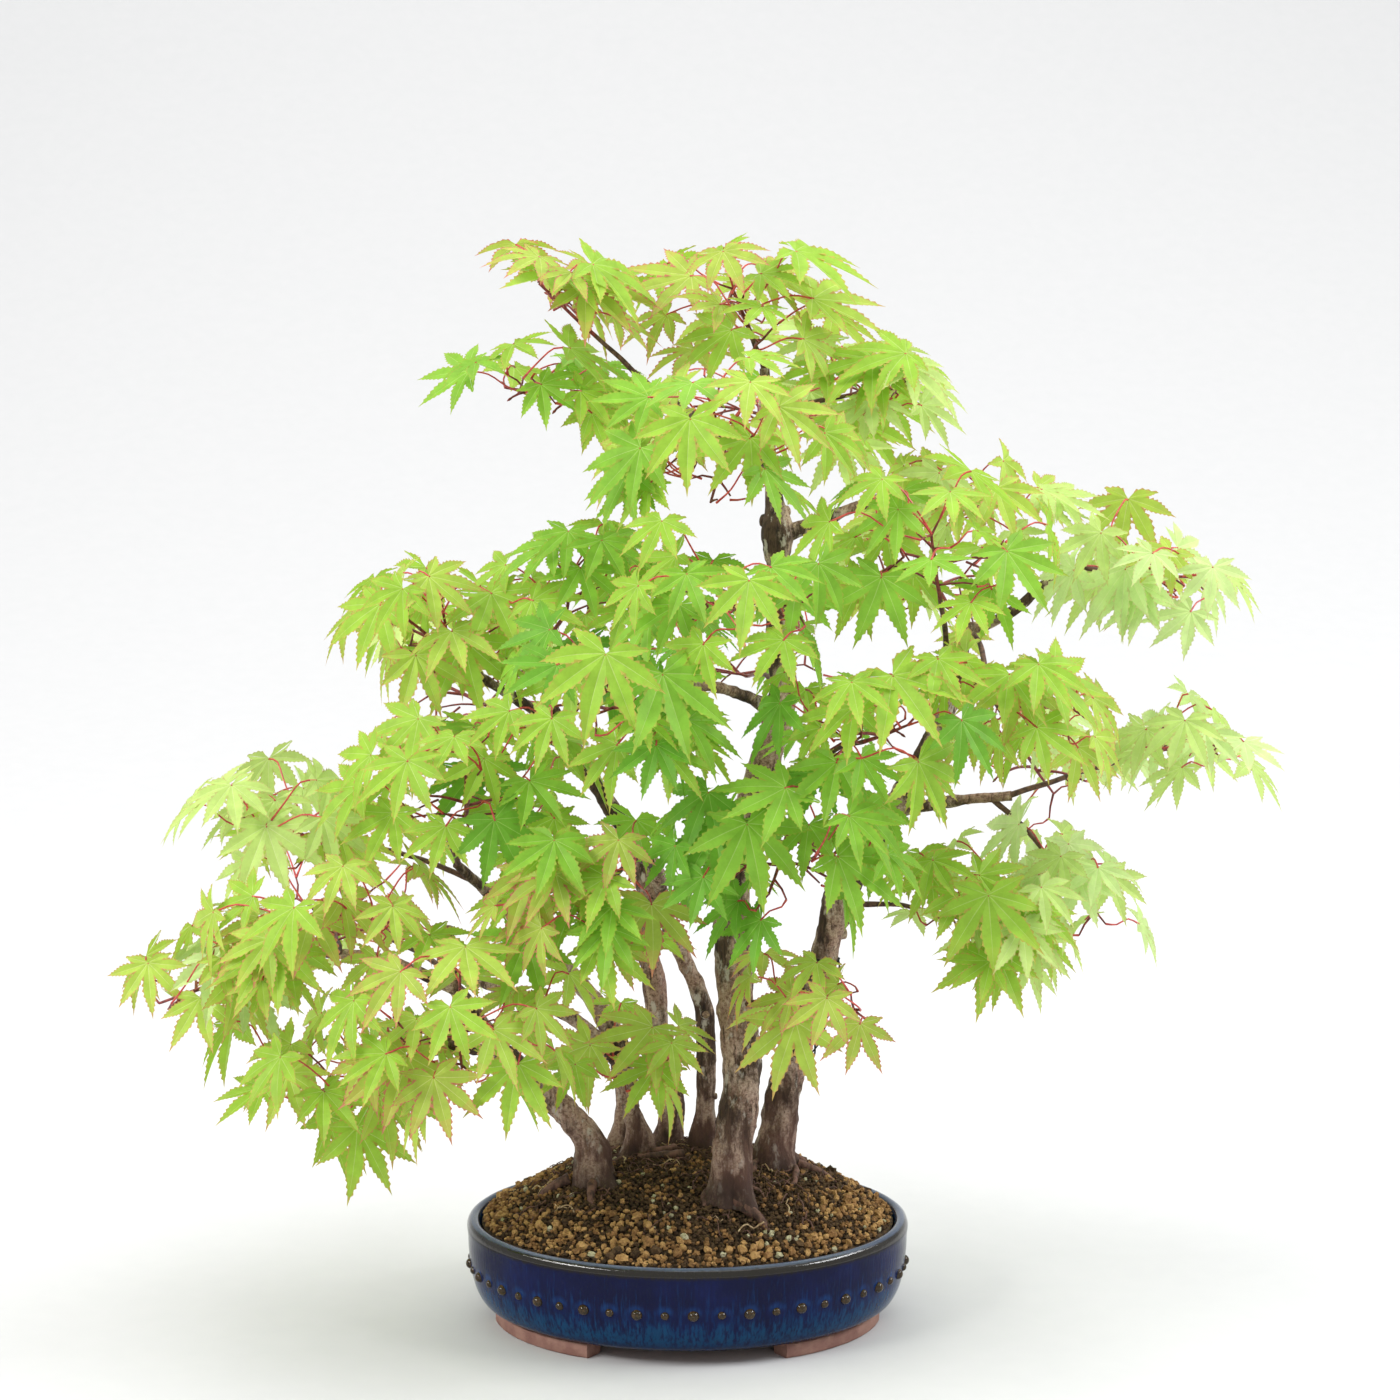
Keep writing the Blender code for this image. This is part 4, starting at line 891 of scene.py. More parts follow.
def make_soil_bed(fine_soil):
    """The mound of fine soil that the grains lie on."""
    corners = []
    for row in range(BED_ROWS + 1):
        share = row / BED_ROWS
        for step in range(BED_STEPS):
            turn = 2 * math.pi * step / BED_STEPS
            x, y = SOIL_REACH * share * math.cos(turn), SOIL_REACH * OVAL * share * math.sin(turn)
            lump = noise.noise(Vector((x * 220, y * 220, 0.0))) * 0.0013
            lump += noise.noise(Vector((x * 700, y * 700, 3.0))) * 0.0007
            lump *= min(1.0, (1 - share) * 12)
            corners.append((x, y, soil_height(x, y) - BED_SINK + lump + bank(share)))
    bed = Piece("soil_bed")
    bed.add(corners, [(a, d, c, b) for a, b, c, d in ring_faces(BED_ROWS + 1, BED_STEPS)], fine_soil)
    bed.finish("grit_soil", "soil", sharp=80.0)


def grain_places(rng):
    """Where grains lie side by side: x, y, size, nearness to a stem and share of the way out."""
    taken = []
    cells = {}
    for _ in range(GRAIN_TRIES):
        turn = rng.uniform(0, 2 * math.pi)
        share = math.sqrt(rng.uniform(0.0, 1.0))
        size = rng.choice(GRAIN_SIZES)
        close = near_stems(SOIL_REACH * share * math.cos(turn), SOIL_REACH * OVAL * share * math.sin(turn))
        if close > 0.25 or noise.noise(Vector((turn * 2.2, share * 4.0, 1.5))) > 0.22:
            size = min(size, 0.0009 + 0.0007 * rng.random())
        reach = SOIL_REACH - size * 1.15
        x, y = reach * share * math.cos(turn), reach * OVAL * share * math.sin(turn)
        across, back = int(x // GRAIN_CELL), int(y // GRAIN_CELL)
        near = [cells.get((across + i, back + j), ()) for i in (-1, 0, 1) for j in (-1, 0, 1)]
        if any((x - px) ** 2 + (y - py) ** 2 < ((size + ps) * GRAIN_ROOM) ** 2
               for group in near for px, py, ps in group):
            continue
        if any(math.hypot(x - px, y - py) < radius + size * 0.4 for px, py, radius in STEMS):
            continue
        cells.setdefault((across, back), []).append((x, y, size))
        taken.append((x, y, size, close, share))
    return taken


def make_grains(grits):
    """A layer of lumpy grains over the bed: tan, brown, pale and dark."""
    rng = random.Random(5)
    base, triangles = icosphere()
    shapes = []
    for _ in range(GRAIN_SHAPES):
        shift = Vector([rng.uniform(-50, 50) for _ in range(3)])
        swell = np.array([1.0 + 0.62 * noise.noise(Vector(corner) * 1.7 + shift)
                          + 0.34 * noise.noise(Vector(corner) * 4.2 + shift) for corner in base])
        shapes.append(base * swell[:, None])
    piles = [Piece("soil_grains_front"), Piece("soil_grains_back")]
    for x, y, size, close, share in grain_places(rng):
        shape = rng.choice(shapes)
        spin = Matrix.Rotation(rng.uniform(0, 6.28), 3, "Z") @ Matrix.Rotation(rng.uniform(0, 6.28), 3, "X")
        scale = np.array([size * rng.uniform(0.75, 1.20), size * rng.uniform(0.75, 1.20),
                          size * rng.uniform(0.70, 1.0)])
        height = soil_height(x, y) + bank(share) + size * rng.uniform(0.10, 0.45)
        placed = (shape * scale) @ np.array(spin).T + np.array([x, y, height])
        chance = rng.random() + close * 0.7 + (0.30 if size < FINE_BELOW else 0.0)
        # painted light: grains left of the edge turn tan more often, as the soil's left side is lit
        chance += min(0.0, x - PAINTED_LIGHT_EDGE) * 3.0
        piles[y > 0].add(placed.tolist(), triangles, grits[bisect(GRIT_LIMITS, chance)])
    for pile in piles:
        pile.finish("grit_soil", "soil", sharp=28.0)


def icosphere():
    """Corners and triangles of a ball of 80 faces and radius 1."""
    golden = (1 + 5 ** 0.5) / 2
    corners = [Vector(corner).normalized() for corner in (
        (-1, golden, 0), (1, golden, 0), (-1, -golden, 0), (1, -golden, 0),
        (0, -1, golden), (0, 1, golden), (0, -1, -golden), (0, 1, -golden),
        (golden, 0, -1), (golden, 0, 1), (-golden, 0, -1), (-golden, 0, 1))]
    faces = [(0, 11, 5), (0, 5, 1), (0, 1, 7), (0, 7, 10), (0, 10, 11), (1, 5, 9), (5, 11, 4), (11, 10, 2),
             (10, 7, 6), (7, 1, 8), (3, 9, 4), (3, 4, 2), (3, 2, 6), (3, 6, 8), (3, 8, 9), (4, 9, 5),
             (2, 4, 11), (6, 2, 10), (8, 6, 7), (9, 8, 1)]
    halves = {}

    def half(one, two):
        key = (min(one, two), max(one, two))
        if key not in halves:
            halves[key] = len(corners)
            corners.append(((corners[one] + corners[two]) / 2).normalized())
        return halves[key]

    fine = []
    for a, b, c in faces:
        ab, bc, ca = half(a, b), half(b, c), half(c, a)
        fine += [(a, ab, ca), (b, bc, ab), (c, ca, bc), (ab, bc, ca)]
    return np.array([tuple(corner) for corner in corners]), fine


# ---------------------------------------------------------------- limbs, roots and wire

class Limb:
    """A trunk or a bough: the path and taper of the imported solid, dressed in bark."""

    def __init__(self, name, path, foot, tip, power=1.0, flare=0.0, knuckles=(), parent=None):
        points = [Vector(place if len(place) == 3 else (*place, 0.0)) * MM for place in path]
        self.name = name
        self.parent = parent
        self.ground = None
        if parent is None:
            self.ground = soil_height(points[0].x, points[0].y) - TRUNK_SINK
            points[0].z = self.ground
        self.rule = (foot, tip, power, flare, knuckles)
        self.controls = points
        self.points = smooth_path(points, PATH_STEP)
        self.shares = shares_along(self.points)
        self.radii = self.radii_along(self.points)

    def radii_along(self, points):
        """The limb's radius at each point of a path along it."""
        foot, tip, power, flare, knuckles = self.rule
        radii = []
        for share, point in zip(shares_along(points), points):
            radius = tip + (foot - tip) * (1.0 - share ** power)
            if self.ground is not None:
                radius += flare * math.exp(-(point.z - self.ground) / FLARE_HEIGHT)
            for height, extra in knuckles:
                radius += extra * math.exp(-((point.z - height * MM) / KNUCKLE_LENGTH) ** 2)
            radii.append(radius * MM)
        return radii

    def at(self, share):
        """The point, direction and radius at a share of the limb's length."""
        for index in range(1, len(self.points)):
            if self.shares[index] >= share:
                break
        one, two = self.points[index - 1], self.points[index]
        t = (share - self.shares[index - 1]) / (self.shares[index] - self.shares[index - 1])
        radius = self.radii[index - 1] * (1 - t) + self.radii[index] * t
        return one.lerp(two, t), (two - one).normalized(), radius

    def dress(self, bark, wood):
        """The limb's bark with its relief and the old cuts on it."""
        points = smooth_path(self.controls, BARK_STEP)
        radii = self.radii_along(points)
        if self.parent:
            collar = min(COLLAR, radii[0] * 0.35)
            radii = [radius + collar * math.exp(-(point - points[0]).length / COLLAR_LENGTH)
                     for radius, point in zip(radii, points)]
        piece = Piece(f"bark_{self.name}")
        sides = BOUGH_SIDES if self.parent else TRUNK_SIDES
        tube(piece, points, radii, sides, bark, self.bark_relief(points, radii))
        for share, turn, width, rise in STUBS.get(self.name, ()):
            self.stub(piece, share, math.radians(turn), width * MM, rise * MM, bark, wood)
        piece.finish("bark", self.name, sharp=70.0)

    def bark_relief(self, points, radii):
        """The bark's relief: ridges, bud knots and rings, and at a stem's foot its root toes."""
        shares = shares_along(points)
        seed = sum(ord(letter) for letter in self.name)
        rng = random.Random(seed)
        toes = TOES.get(self.name, ())
        knots = [(rng.uniform(0.08, 0.95), rng.uniform(0, 2 * math.pi), rng.uniform(0.6, 1.0))
                 for _ in range(int(3 + KNOTS_A_METRE * (self.controls[-1] - self.controls[0]).length))]
        length = sum((two - one).length for one, two in zip(points, points[1:]))
        rings_at = [rng.uniform(0.05, 0.98) for _ in range(int(length / RING_SPACING))]

        def relief(place, out, index):
            radius = radii[index]
            share = shares[index]
            long = Vector((place.x * 190, place.y * 190, place.z * 55 + seed))
            size = noise.noise(long) * 0.18 + noise.noise(long * 2.7) * 0.09
            size += noise.noise(place * 60 + Vector((seed, 0, 0))) * 0.16
            size += noise.noise(place * 800) * 0.030
            size *= radius
            turn = math.atan2(out.y, out.x)
            for where, angle, strength in knots:
                along = (share - where) * length
                if abs(along) < KNOT_REACH:
                    away = math.remainder(turn - angle, 2 * math.pi) * radius
                    reach = (along / KNOT_LENGTH) ** 2 + (away / KNOT_WIDTH) ** 2
                    size += strength * radius * 0.26 * math.exp(-reach)
                    size -= strength * radius * 0.22 * math.exp(-reach * 5.0)
            for where in rings_at:
                along = (share - where) * length
                size += 0.045 * radius * math.exp(-(along / RING_LENGTH) ** 2)
            if self.ground is not None:
                rise = max(0.0, place.z - self.ground)
                gnarl = noise.noise(Vector((place.x * 150, place.y * 150, place.z * 90 + seed)))
                size += gnarl * GNARL * math.exp(-rise / GNARL_HEIGHT)
                for angle, strength in toes:
                    away = math.remainder(turn - math.radians(angle), 2 * math.pi)
                    size += strength * MM * math.exp(-rise / TOE_HEIGHT) * math.exp(-(away / TOE_SPREAD) ** 2)
            return size

        return relief

    def stub(self, piece, share, turn, width, rise, bark, wood):
        """The collar and cut face left where an old branch was taken off."""
        middle, forward, radius = self.at(share)
        out = Vector((math.cos(turn), math.sin(turn), 0.25)).normalized()
        out = (out - forward * out.dot(forward) * 0.6).normalized()
        side = out.orthogonal().normalized()
        above = out.cross(side)
        base = middle + out * radius * 0.3
        reach = radius * 0.7 + rise
        angles = [2 * math.pi * step / STUB_SIDES for step in range(STUB_SIDES)]
        rings = []
        for go, wide in STUB_LINE:
            ring = []
            for angle in angles:
                place = Vector((math.cos(angle) * 2, math.sin(angle) * 2, share * 9 + go))
                lump = 1.0 + 0.10 * noise.noise(place)
                ring.append(base + out * reach * go + spoke(side, above, angle) * width * wide * lump)
            rings.append(ring)
        inner = [base + out * (reach - 0.0004) + spoke(side, above, angle) * width * 0.7 for angle in angles]
        corners, faces = rings_mesh(rings, close_end=False)
        piece.add(corners, faces, bark)
        corners, faces = rings_mesh([rings[-1], inner], close_start=False)
        piece.add(corners, faces, wood)


def make_roots(finish):
    """Roots that leave the stems and run over the soil before they dive."""
    piece = Piece("surface_roots")
    for index, (x, y, heading, length, width) in enumerate(ROOTS):
        rng = random.Random(200 + index)
        place = Vector((x, y, 0.0)) * MM
        turn = math.radians(heading)
        points, radii = [], []
        for step in range(ROOT_STEPS + 1):
            share = step / ROOT_STEPS
            over = width * MM * (0.85 - 1.9 * share ** 3)
            place.z = soil_height(place.x, place.y) + over
            points.append(place.copy())
            radii.append(width * MM * (1.0 - 0.55 * share))
            turn += rng.uniform(-0.34, 0.34)
            place = place + Vector((math.cos(turn), math.sin(turn), 0.0)) * length * MM / ROOT_STEPS
        fine = smooth_path(points, 0.0014)
        spread = [radii[min(ROOT_STEPS, int(share * ROOT_STEPS))] for share in shares_along(fine)]

        def relief(at, out, number):
            return spread[number] * (noise.noise(at * 320) * 0.22 + noise.noise(at * 900) * 0.10)

        tube(piece, fine, spread, 12, finish, relief)
    piece.finish("bark", "soil")


def make_rootlets(finish, straw):
    """Fine rootlets and straws that lie among the grains."""
    piece = Piece("rootlets")
    rng = random.Random(77)
    for index in range(ROOTLETS):
        x, y, _ = rng.choice(STEMS)
        turn = rng.uniform(0, 2 * math.pi)
        away = rng.uniform(0.010, 0.042) if index < ROOTLETS_NEAR else rng.uniform(0.02, 0.075)
        place = Vector((x + away * math.cos(turn), y + away * math.sin(turn), 0.0))
        if math.hypot(place.x, place.y / OVAL) > ROOTLET_EDGE:
            continue
        turn = rng.uniform(0, 2 * math.pi)
        points = []
        run = rng.uniform(0.006, 0.016)
        for step in range(6):
            lift = 0.0016 + 0.0010 * math.sin(step * 1.9 + index)
            points.append(Vector((place.x, place.y, soil_height(place.x, place.y) + lift)))
            turn += rng.uniform(-0.7, 0.7)
            place = place + Vector((math.cos(turn), math.sin(turn), 0.0)) * run / 5
        fine = smooth_path(points, 0.0016)
        width = rng.uniform(0.00018, 0.00042)
        tube(piece, fine, [width] * len(fine), 5, straw if index % STRAW_EVERY == 0 else finish)
    piece.finish("bark", "soil")


def make_wire(limb, finish):
    """Black training wire: two strands twisted together up a stem, and a turn round it at each end."""
    piece = Piece("training_wire")
    start, end = WIRE_SHARES
    out = Vector((1.0, -0.35, 0.0)).normalized()
    for strand in (0, 1):
        points = []
        for step in range(60):
            middle, forward, radius = limb.at(start + (end - start) * step / 59)
            side = forward.cross(out).normalized()
            turn = step * 0.36 + strand * math.pi
            stand = radius + 0.0012 + 0.0018 * math.sin(math.pi * step / 59)
            points.append(middle + out * (stand + 0.0010 * math.cos(turn)) + side * 0.0010 * math.sin(turn))
        tube(piece, points, [WIRE_RADIUS] * len(points), 6, finish)
    for share in (start + 0.005, end - 0.005):
        points = []
        for step in range(40):
            middle, forward, radius = limb.at(share + 0.004 * step / 39)
            side = forward.cross(Vector((0.0, 1.0, 0.0))).normalized()
            round_it = spoke(side, side.cross(forward), -0.4 + 2 * math.pi * WIRE_TURNS * step / 39)
            points.append(middle + round_it * (radius * 1.10 + 0.0004))
        tube(piece, points, [WIRE_RADIUS] * len(points), 6, finish)
    piece.finish("bark")


# ---------------------------------------------------------------- foliage

STEM_START = 0.002              # a stem at a limb's tip starts this far back inside it
STEM_SWEEP = 0.16               # and follows the limb's direction for this share of its length
STEM_LIFT = 0.05                # every stem bows up by this share of its length
STEM_INSET = 0.28               # the stem's first node lies this share of the space short of its middle
PAIR_OFFSET = 0.0015            # the two shoots of a pair leave this far from their node
LEADER_REACH = 0.40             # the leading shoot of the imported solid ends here
SIDE_REACH = 0.48               # and its side shoots here
LOW_REACH = 0.42                # two more shoots leave the first node and end here
FINE_REACH = 0.78               # finer shoots carry on to this share of the space
FINE_PAIRS = ((0.52, 0.62), (0.98, 0.60))   # where they leave a shoot, and their length beside its own
FINE_SHORTEST = 0.004
FINE_FORKED = 0.014             # a fine shoot longer than this bears leaves along it too
TWO_PAIRS = 8                   # a spray of this many leaves has two pairs of side shoots

LEAF_LOBES = ((0, 1.00), (37, 0.93), (74, 0.72), (116, 0.44))   # (angle, length) each side
LEAF_NOTCH = 0.245              # how far from the stalk the blade is cut between two lobes
LEAF_NECK = (0.0, 0.25, 0.62)   # shares of the way to the notch where the undivided blade has corners
NECK_SIDE = 26.0                # the blade reaches this far round behind its outermost lobes, in degrees
LOBE_WIDTH = 0.107
LOBE_SHAPE = ((0.0, 0.72), (0.14, 0.88), (0.27, 1.0), (0.40, 0.97), (0.52, 0.80), (0.63, 0.58),
              (0.73, 0.38), (0.84, 0.19), (1.0, 0.0))      # (share of its length, share of its width)
LOBE_LONG = 0.6                 # a shorter lobe has every second of these
RIB_WIDTH = 0.0056
TOOTH = 0.34                    # how far a tooth stands out, as a share of the lobe's half width
TOOTH_PLACE = 0.72              # and how far on from one corner of the edge to the next
LAST_TOOTH = 0.80               # beyond this the lobe ends in a plain fine tip
OUTER_BLADE = 0.45              # the blade's tint changes beyond this
BLADE, OUTER, EDGE, RIB = range(4)
LEAF_SHAPES = 9

LEAVES_FOR_ONE = 2.7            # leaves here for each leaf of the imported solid
LEAF_LENGTH = ((0.026, 0.045), (0.022, 0.038))      # of leaves in front and behind
LEAF_CURVE = 0.14               # how far a whole leaf's tips droop
STALK_LENGTH = (0.012, 0.044)   # from the shoot to the blade
LEAF_DROOP = (18.0, 62.0)       # in degrees
CROWN_HEIGHT = 0.45             # leaves above this lie flatter
CROWN_LIFT = (16.0, 26.0)       # by this much, in degrees
TOWARDS_LIGHT = 0.80            # how far blades turn out from the crown, in front and behind
TIP_REACH = 1.20                # leaf tips may pass the edge of their spray's space this far
LEAF_OVER = 0.006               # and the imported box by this
JOINT_FLOOR = 0.062             # no blade starts lower
TIP_FLOOR = 0.060               # or hangs lower
LIMB_CLEAR = 0.0008             # how clear leaves stay of trunks and boughs
EDGE_ON = 0.14                  # a blade turned nearer to edge-on than this doesn't show
LEAF_TRIES = 260                # places tried for each leaf
LEAVES_A_HUB = 2                # maple leaves grow in pairs
LEAF_ROOM = 0.075               # leaves further apart than this don't count as near
DEPTH_COUNTS = 0.6              # room from front to back counts this much beside room across
BLADE_MIDDLE = 0.42             # a blade's middle, from its stalk, as a share of its length
BARE_SPURS = 0.12               # this share of the leafless fine shoots is left as a short spur

EYE = Vector((0.0062, -1.6689, 0.5724))     # the front camera stands here
# The crown's main openings, seen from the front: x, z and radius in the plane of the pot's middle.
OPENINGS = (
    (-290, 160, 10), (-275, 195, 10), (-275, 135, 15), (-250, 275, 15), (-250, 220, 12), (-200, 85, 12),
    (-185, 305, 15), (-185, 355, 15), (-160, 305, 10), (-150, 380, 10), (-110, 505, 15), (-95, 445, 12),
    (-95, 395, 15), (-80, 495, 12), (20, 390, 12), (55, 205, 10), (105, 180, 15), (115, 145, 12),
    (105, 290, 8), (125, 485, 15), (185, 425, 12), (205, 180, 12), (215, 310, 10), (215, 245, 12),
    (235, 215, 12), (250, 400, 15), (250, 250, 12), (260, 320, 12), (275, 305, 15),
)
# Where the crown is closed, seen from the front in the same way.
THICKETS = (
    (-45, 485, 15), (-40, 405, 15), (85, 420, 15), (150, 430, 12), (190, 405, 12), (-5, 285, 18),
    (60, 260, 12), (125, 245, 15), (-30, 180, 18), (-60, 215, 15), (-215, 170, 15), (140, 160, 15),
    (210, 335, 18),
)
THICKET_PULL = 0.015            # how much room a place in a thicket is worth
BEHIND = 0.04                   # sprays whose middle lies further back are the plant's back
HIDDEN_PULL = 0.030             # how much room it is worth to a leaf there to be hidden by those in front
COVER_CELL = 0.0015
COVER_EDGE = 0.030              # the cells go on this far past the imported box

# Twig radii at foot and tip, and how far apart their rings lie.
STEM_TWIG = (0.0015, 0.0006)
SHOOT_TWIG = (0.0009, 0.0006)
FINE_TWIG = (0.00062, 0.00042)
SPUR_TWIG = (0.0006, 0.0005)
STEM_RING = 0.003
SHOOT_RING = 0.004
FINE_RING = 0.005
BUD_LINE = ((-0.0004, 0.0005), (0.0006, 0.0007), (0.0015, 0.00055), (0.0024, 0.0001))   # (way on, radius)


class LeafShape:
    """One cut of leaf in its own plane: lobes with teeth, a pale rib down each."""

    def __init__(self, rng):
        self.places = {}
        self.flat = []          # x, y, distance from the rib, lobe, how free of the others it is
        self.faces = []
        self.zones = []         # of each face: BLADE, OUTER, EDGE or RIB
        right = [(angle + rng.uniform(-3, 3) * (angle > 0), length * rng.uniform(0.93, 1.05))
                 for angle, length in LEAF_LOBES]
        left = [(-angle, length * rng.uniform(0.94, 1.04)) for angle, length in right[:0:-1]]
        self.lobes = left + right
        last = len(self.lobes) - 1
        for index, (angle, length) in enumerate(self.lobes):
            before = (angle - self.lobes[index - 1][0]) / 2 if index else NECK_SIDE
            after = (self.lobes[index + 1][0] - angle) / 2 if index < last else NECK_SIDE
            self.lobe(index, math.radians(angle), length, -1, math.radians(before), index == 0)
            self.lobe(index, math.radians(angle), length, 1, math.radians(after), index == last)
        self.flat = np.array(self.flat)

    def point(self, lobe, turn, along, across, free):
        """The number of a corner given in a lobe's own frame; corners in one place are shared."""
        x = along * math.sin(turn) + across * math.cos(turn)
        y = along * math.cos(turn) - across * math.sin(turn)
        key = (round(x, 5), round(y, 5))
        if key not in self.places:
            self.places[key] = len(self.flat)
            self.flat.append((x, y, abs(across), lobe, free))
        return self.places[key]

    def face(self, side, zone, *corners):
        """A face of a lobe's left or right side, unless its corners fall together."""
        corners = tuple(dict.fromkeys(corners))
        if len(corners) > 2:
            self.faces.append(corners if side < 0 else corners[::-1])
            self.zones.append(zone)

    def lobe(self, index, turn, length, side, half, outer):
        """One side of a lobe, from its rib to its toothed edge."""
        reach = LEAF_NOTCH * (0.42 if outer else 1.0) * (0.80 + 0.20 * length)
        wide = LOBE_WIDTH * (0.45 + 0.55 * length)
        shape = LOBE_SHAPE if length > LOBE_LONG else LOBE_SHAPE[::2]
        start = reach * math.cos(half)
        notch = reach * math.sin(half)
        rim, rib = [], []
        for part in LEAF_NECK:
            along = reach * part * 0.92
            rim.append(self.point(index, turn, reach * part * math.cos(half),
                                  side * reach * part * math.sin(half), 0.0))
            rib.append(self.point(index, turn, along, side * RIB_WIDTH * min(1.0, part * 4), 0.0))
        stations = []
        for t, width in shape:
            mix = min(1.0, t / 0.15)
            across = notch * (1 - mix) + wide * width * mix if t < 0.15 else wide * width
            stations.append((start + (length - start) * t, across, t))
        for along, across, t in stations:
            rim.append(self.point(index, turn, along, side * across, t))
            width = RIB_WIDTH * (1 - t) if t < 1.0 else 0.0
            rib.append(self.point(index, turn, along, side * width, t))
        middle = [self.point(index, turn, reach * part * 0.92, 0.0, 0.0) for part in LEAF_NECK]
        middle += [self.point(index, turn, along, 0.0, t) for along, _, t in stations]
        for step in range(len(rim) - 1):
            station = step - len(LEAF_NECK)
            t = shape[station][0] if station >= 0 else 0.0
            zone = EDGE if t > LAST_TOOTH else OUTER if t > OUTER_BLADE else BLADE
            self.face(side, zone, rib[step], rim[step], rim[step + 1], rib[step + 1])
            self.face(side, RIB, middle[step], rib[step], rib[step + 1], middle[step + 1])
            if station >= 0 and t < LAST_TOOTH:
                one, two = stations[station], stations[station + 1]
                along = one[0] * (1 - TOOTH_PLACE) + two[0] * TOOTH_PLACE
                across = one[1] * (1 - TOOTH_PLACE) + two[1] * TOOTH_PLACE + wide * TOOTH * (1 - 0.5 * t)
                tooth = self.point(index, turn, along, side * across, t + 0.1)
                self.face(side, EDGE, rim[step], tooth, rim[step + 1])

    def laid(self, size, bend, rng):
        """The leaf's corners in three dimensions: lobes droop, fold up along their ribs and twist."""
        x, y, across, lobe, free = self.flat.T
        far = np.hypot(x, y)
        lift = np.array([rng.uniform(-0.10, 0.07) for _ in self.lobes])[lobe.astype(int)]
        swing = np.array([rng.uniform(-0.05, 0.05) for _ in self.lobes])[lobe.astype(int)]
        z = -bend * far ** 2 + across * rng.uniform(0.18, 0.55) + lift * free ** 1.4
        z -= rng.uniform(0.02, 0.12) * np.clip(far - 0.55, 0, None) ** 1.2
        z -= rng.uniform(-0.05, 0.11) * x ** 2
        turned_x = x + swing * free * np.where(np.abs(y) > 0.01, y, 0.01)
        turned_y = y - swing * free * x
        return np.stack([turned_x, turned_y, z], axis=1) * size


def outside(point):
    """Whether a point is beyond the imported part's box, let out a little as leaves may be."""
    low, high = cad_box
    return any(point[i] < low[i] - LEAF_OVER or point[i] > high[i] + LEAF_OVER for i in range(3))


def from_front(point):
    """Where a point is seen from the front, in the plane of the pot's middle."""
    share = -EYE.y / (point.y - EYE.y)
    return (EYE.x + (point.x - EYE.x) * share,
            EYE.z + (point.z - EYE.z) * share)


def seen_in(point, discs):
    """Whether a point, seen from the front, falls in one of the discs."""
    x, z = from_front(point)
    return any(math.hypot(x - disc_x * MM, z - disc_z * MM) < radius * MM for disc_x, disc_z, radius in discs)


class FrontCover:
    """Which places the leaves already cover, seen from the front, in small square cells."""

    def __init__(self):
        low, high = cad_box
        self.corner = np.array([low[0] - COVER_EDGE, 0.0])
        size = np.array([high[0] + COVER_EDGE, high[2] + COVER_EDGE]) - self.corner
        self.cells = np.zeros(np.ceil(size / COVER_CELL).astype(int), dtype=bool)

    def cell(self, point):
        return ((np.array(from_front(point)) - self.corner) / COVER_CELL).astype(int)

    def add(self, outline):
        """Mark every cell whose middle the leaf's outline goes round."""
        flat = np.array([from_front(point) for point in outline])
        start = np.floor((flat.min(axis=0) - self.corner) / COVER_CELL).astype(int).clip(0)
        end = np.ceil((flat.max(axis=0) - self.corner) / COVER_CELL).astype(int)
        across, up = np.meshgrid(*(np.arange(*span) for span in zip(start, end)), indexing="ij")
        x = self.corner[0] + (across + 0.5) * COVER_CELL
        z = self.corner[1] + (up + 0.5) * COVER_CELL
        within = np.zeros(x.shape, dtype=bool)
        for (x1, z1), (x2, z2) in zip(flat, np.roll(flat, -1, axis=0)):
            if z1 != z2:
                crossed = ((z1 > z) != (z2 > z)) & (x < (x2 - x1) * (z - z1) / (z2 - z1) + x1)
                within ^= crossed
        part = self.cells[start[0]:end[0], start[1]:end[1]]
        part |= within[:part.shape[0], :part.shape[1]]

    def share(self, points):
        """The share of the points that leaves already cover."""
        top = np.array(self.cells.shape) - 1
        found = [self.cells[tuple(self.cell(point).clip(0, top))] for point in points]
        return sum(found) / len(found)


def edge_on(matrix):
    """True for a blade that shows nothing but its edge from the front."""
    gaze = (matrix.translation - EYE).normalized()
    return abs(matrix.col[2].xyz.normalized().dot(gaze)) < EDGE_ON


def outline_of(matrix):
    """A leaf's stalk end, lobe tips and notches where it stands, for finding what it touches."""
    tips = list(LEAF_LOBES[::-1]) + [(-angle, length) for angle, length in LEAF_LOBES[1:]]
    rim = []
    for index, (angle, length) in enumerate(tips):
        if index:
            rim.append(((tips[index - 1][0] + angle) / 2, LEAF_NOTCH))
        rim.append((angle, length))
    flat = [Vector((length * math.sin(math.radians(angle)), length * math.cos(math.radians(angle)),
                    -LEAF_CURVE * length ** 2)) for angle, length in rim]
    return [matrix @ Vector((0, 0, 0))] + [matrix @ point for point in flat]


def apart(one, two):
    """How far apart two leaves look: less from front to back than across or up."""
    offset = one - two
    return math.sqrt(offset.x ** 2 + (DEPTH_COUNTS * offset.y) ** 2 + offset.z ** 2)


def frame_of(place, along, up, size):
    """A matrix whose Y runs along, whose Z leans to `up`, scaled by size."""
    along = along.normalized()
    side = along.cross(up).normalized()
    normal = side.cross(along)
    basis = Matrix((side, along, normal)).transposed() * size
    return Matrix.Translation(place) @ basis.to_4x4()


def run_tree(points, radius):
    """A search tree of a thin three-sided run."""
    rings = []
    for point, (side, above) in zip(points, frames_along(points)):
        rings.append([point + spoke(side, above, turn) * radius for turn in (0.0, 2.1, 4.2)])
    corners, faces = rings_mesh(rings)
    return BVHTree.FromPolygons([Vector(corner) for corner in corners], faces)


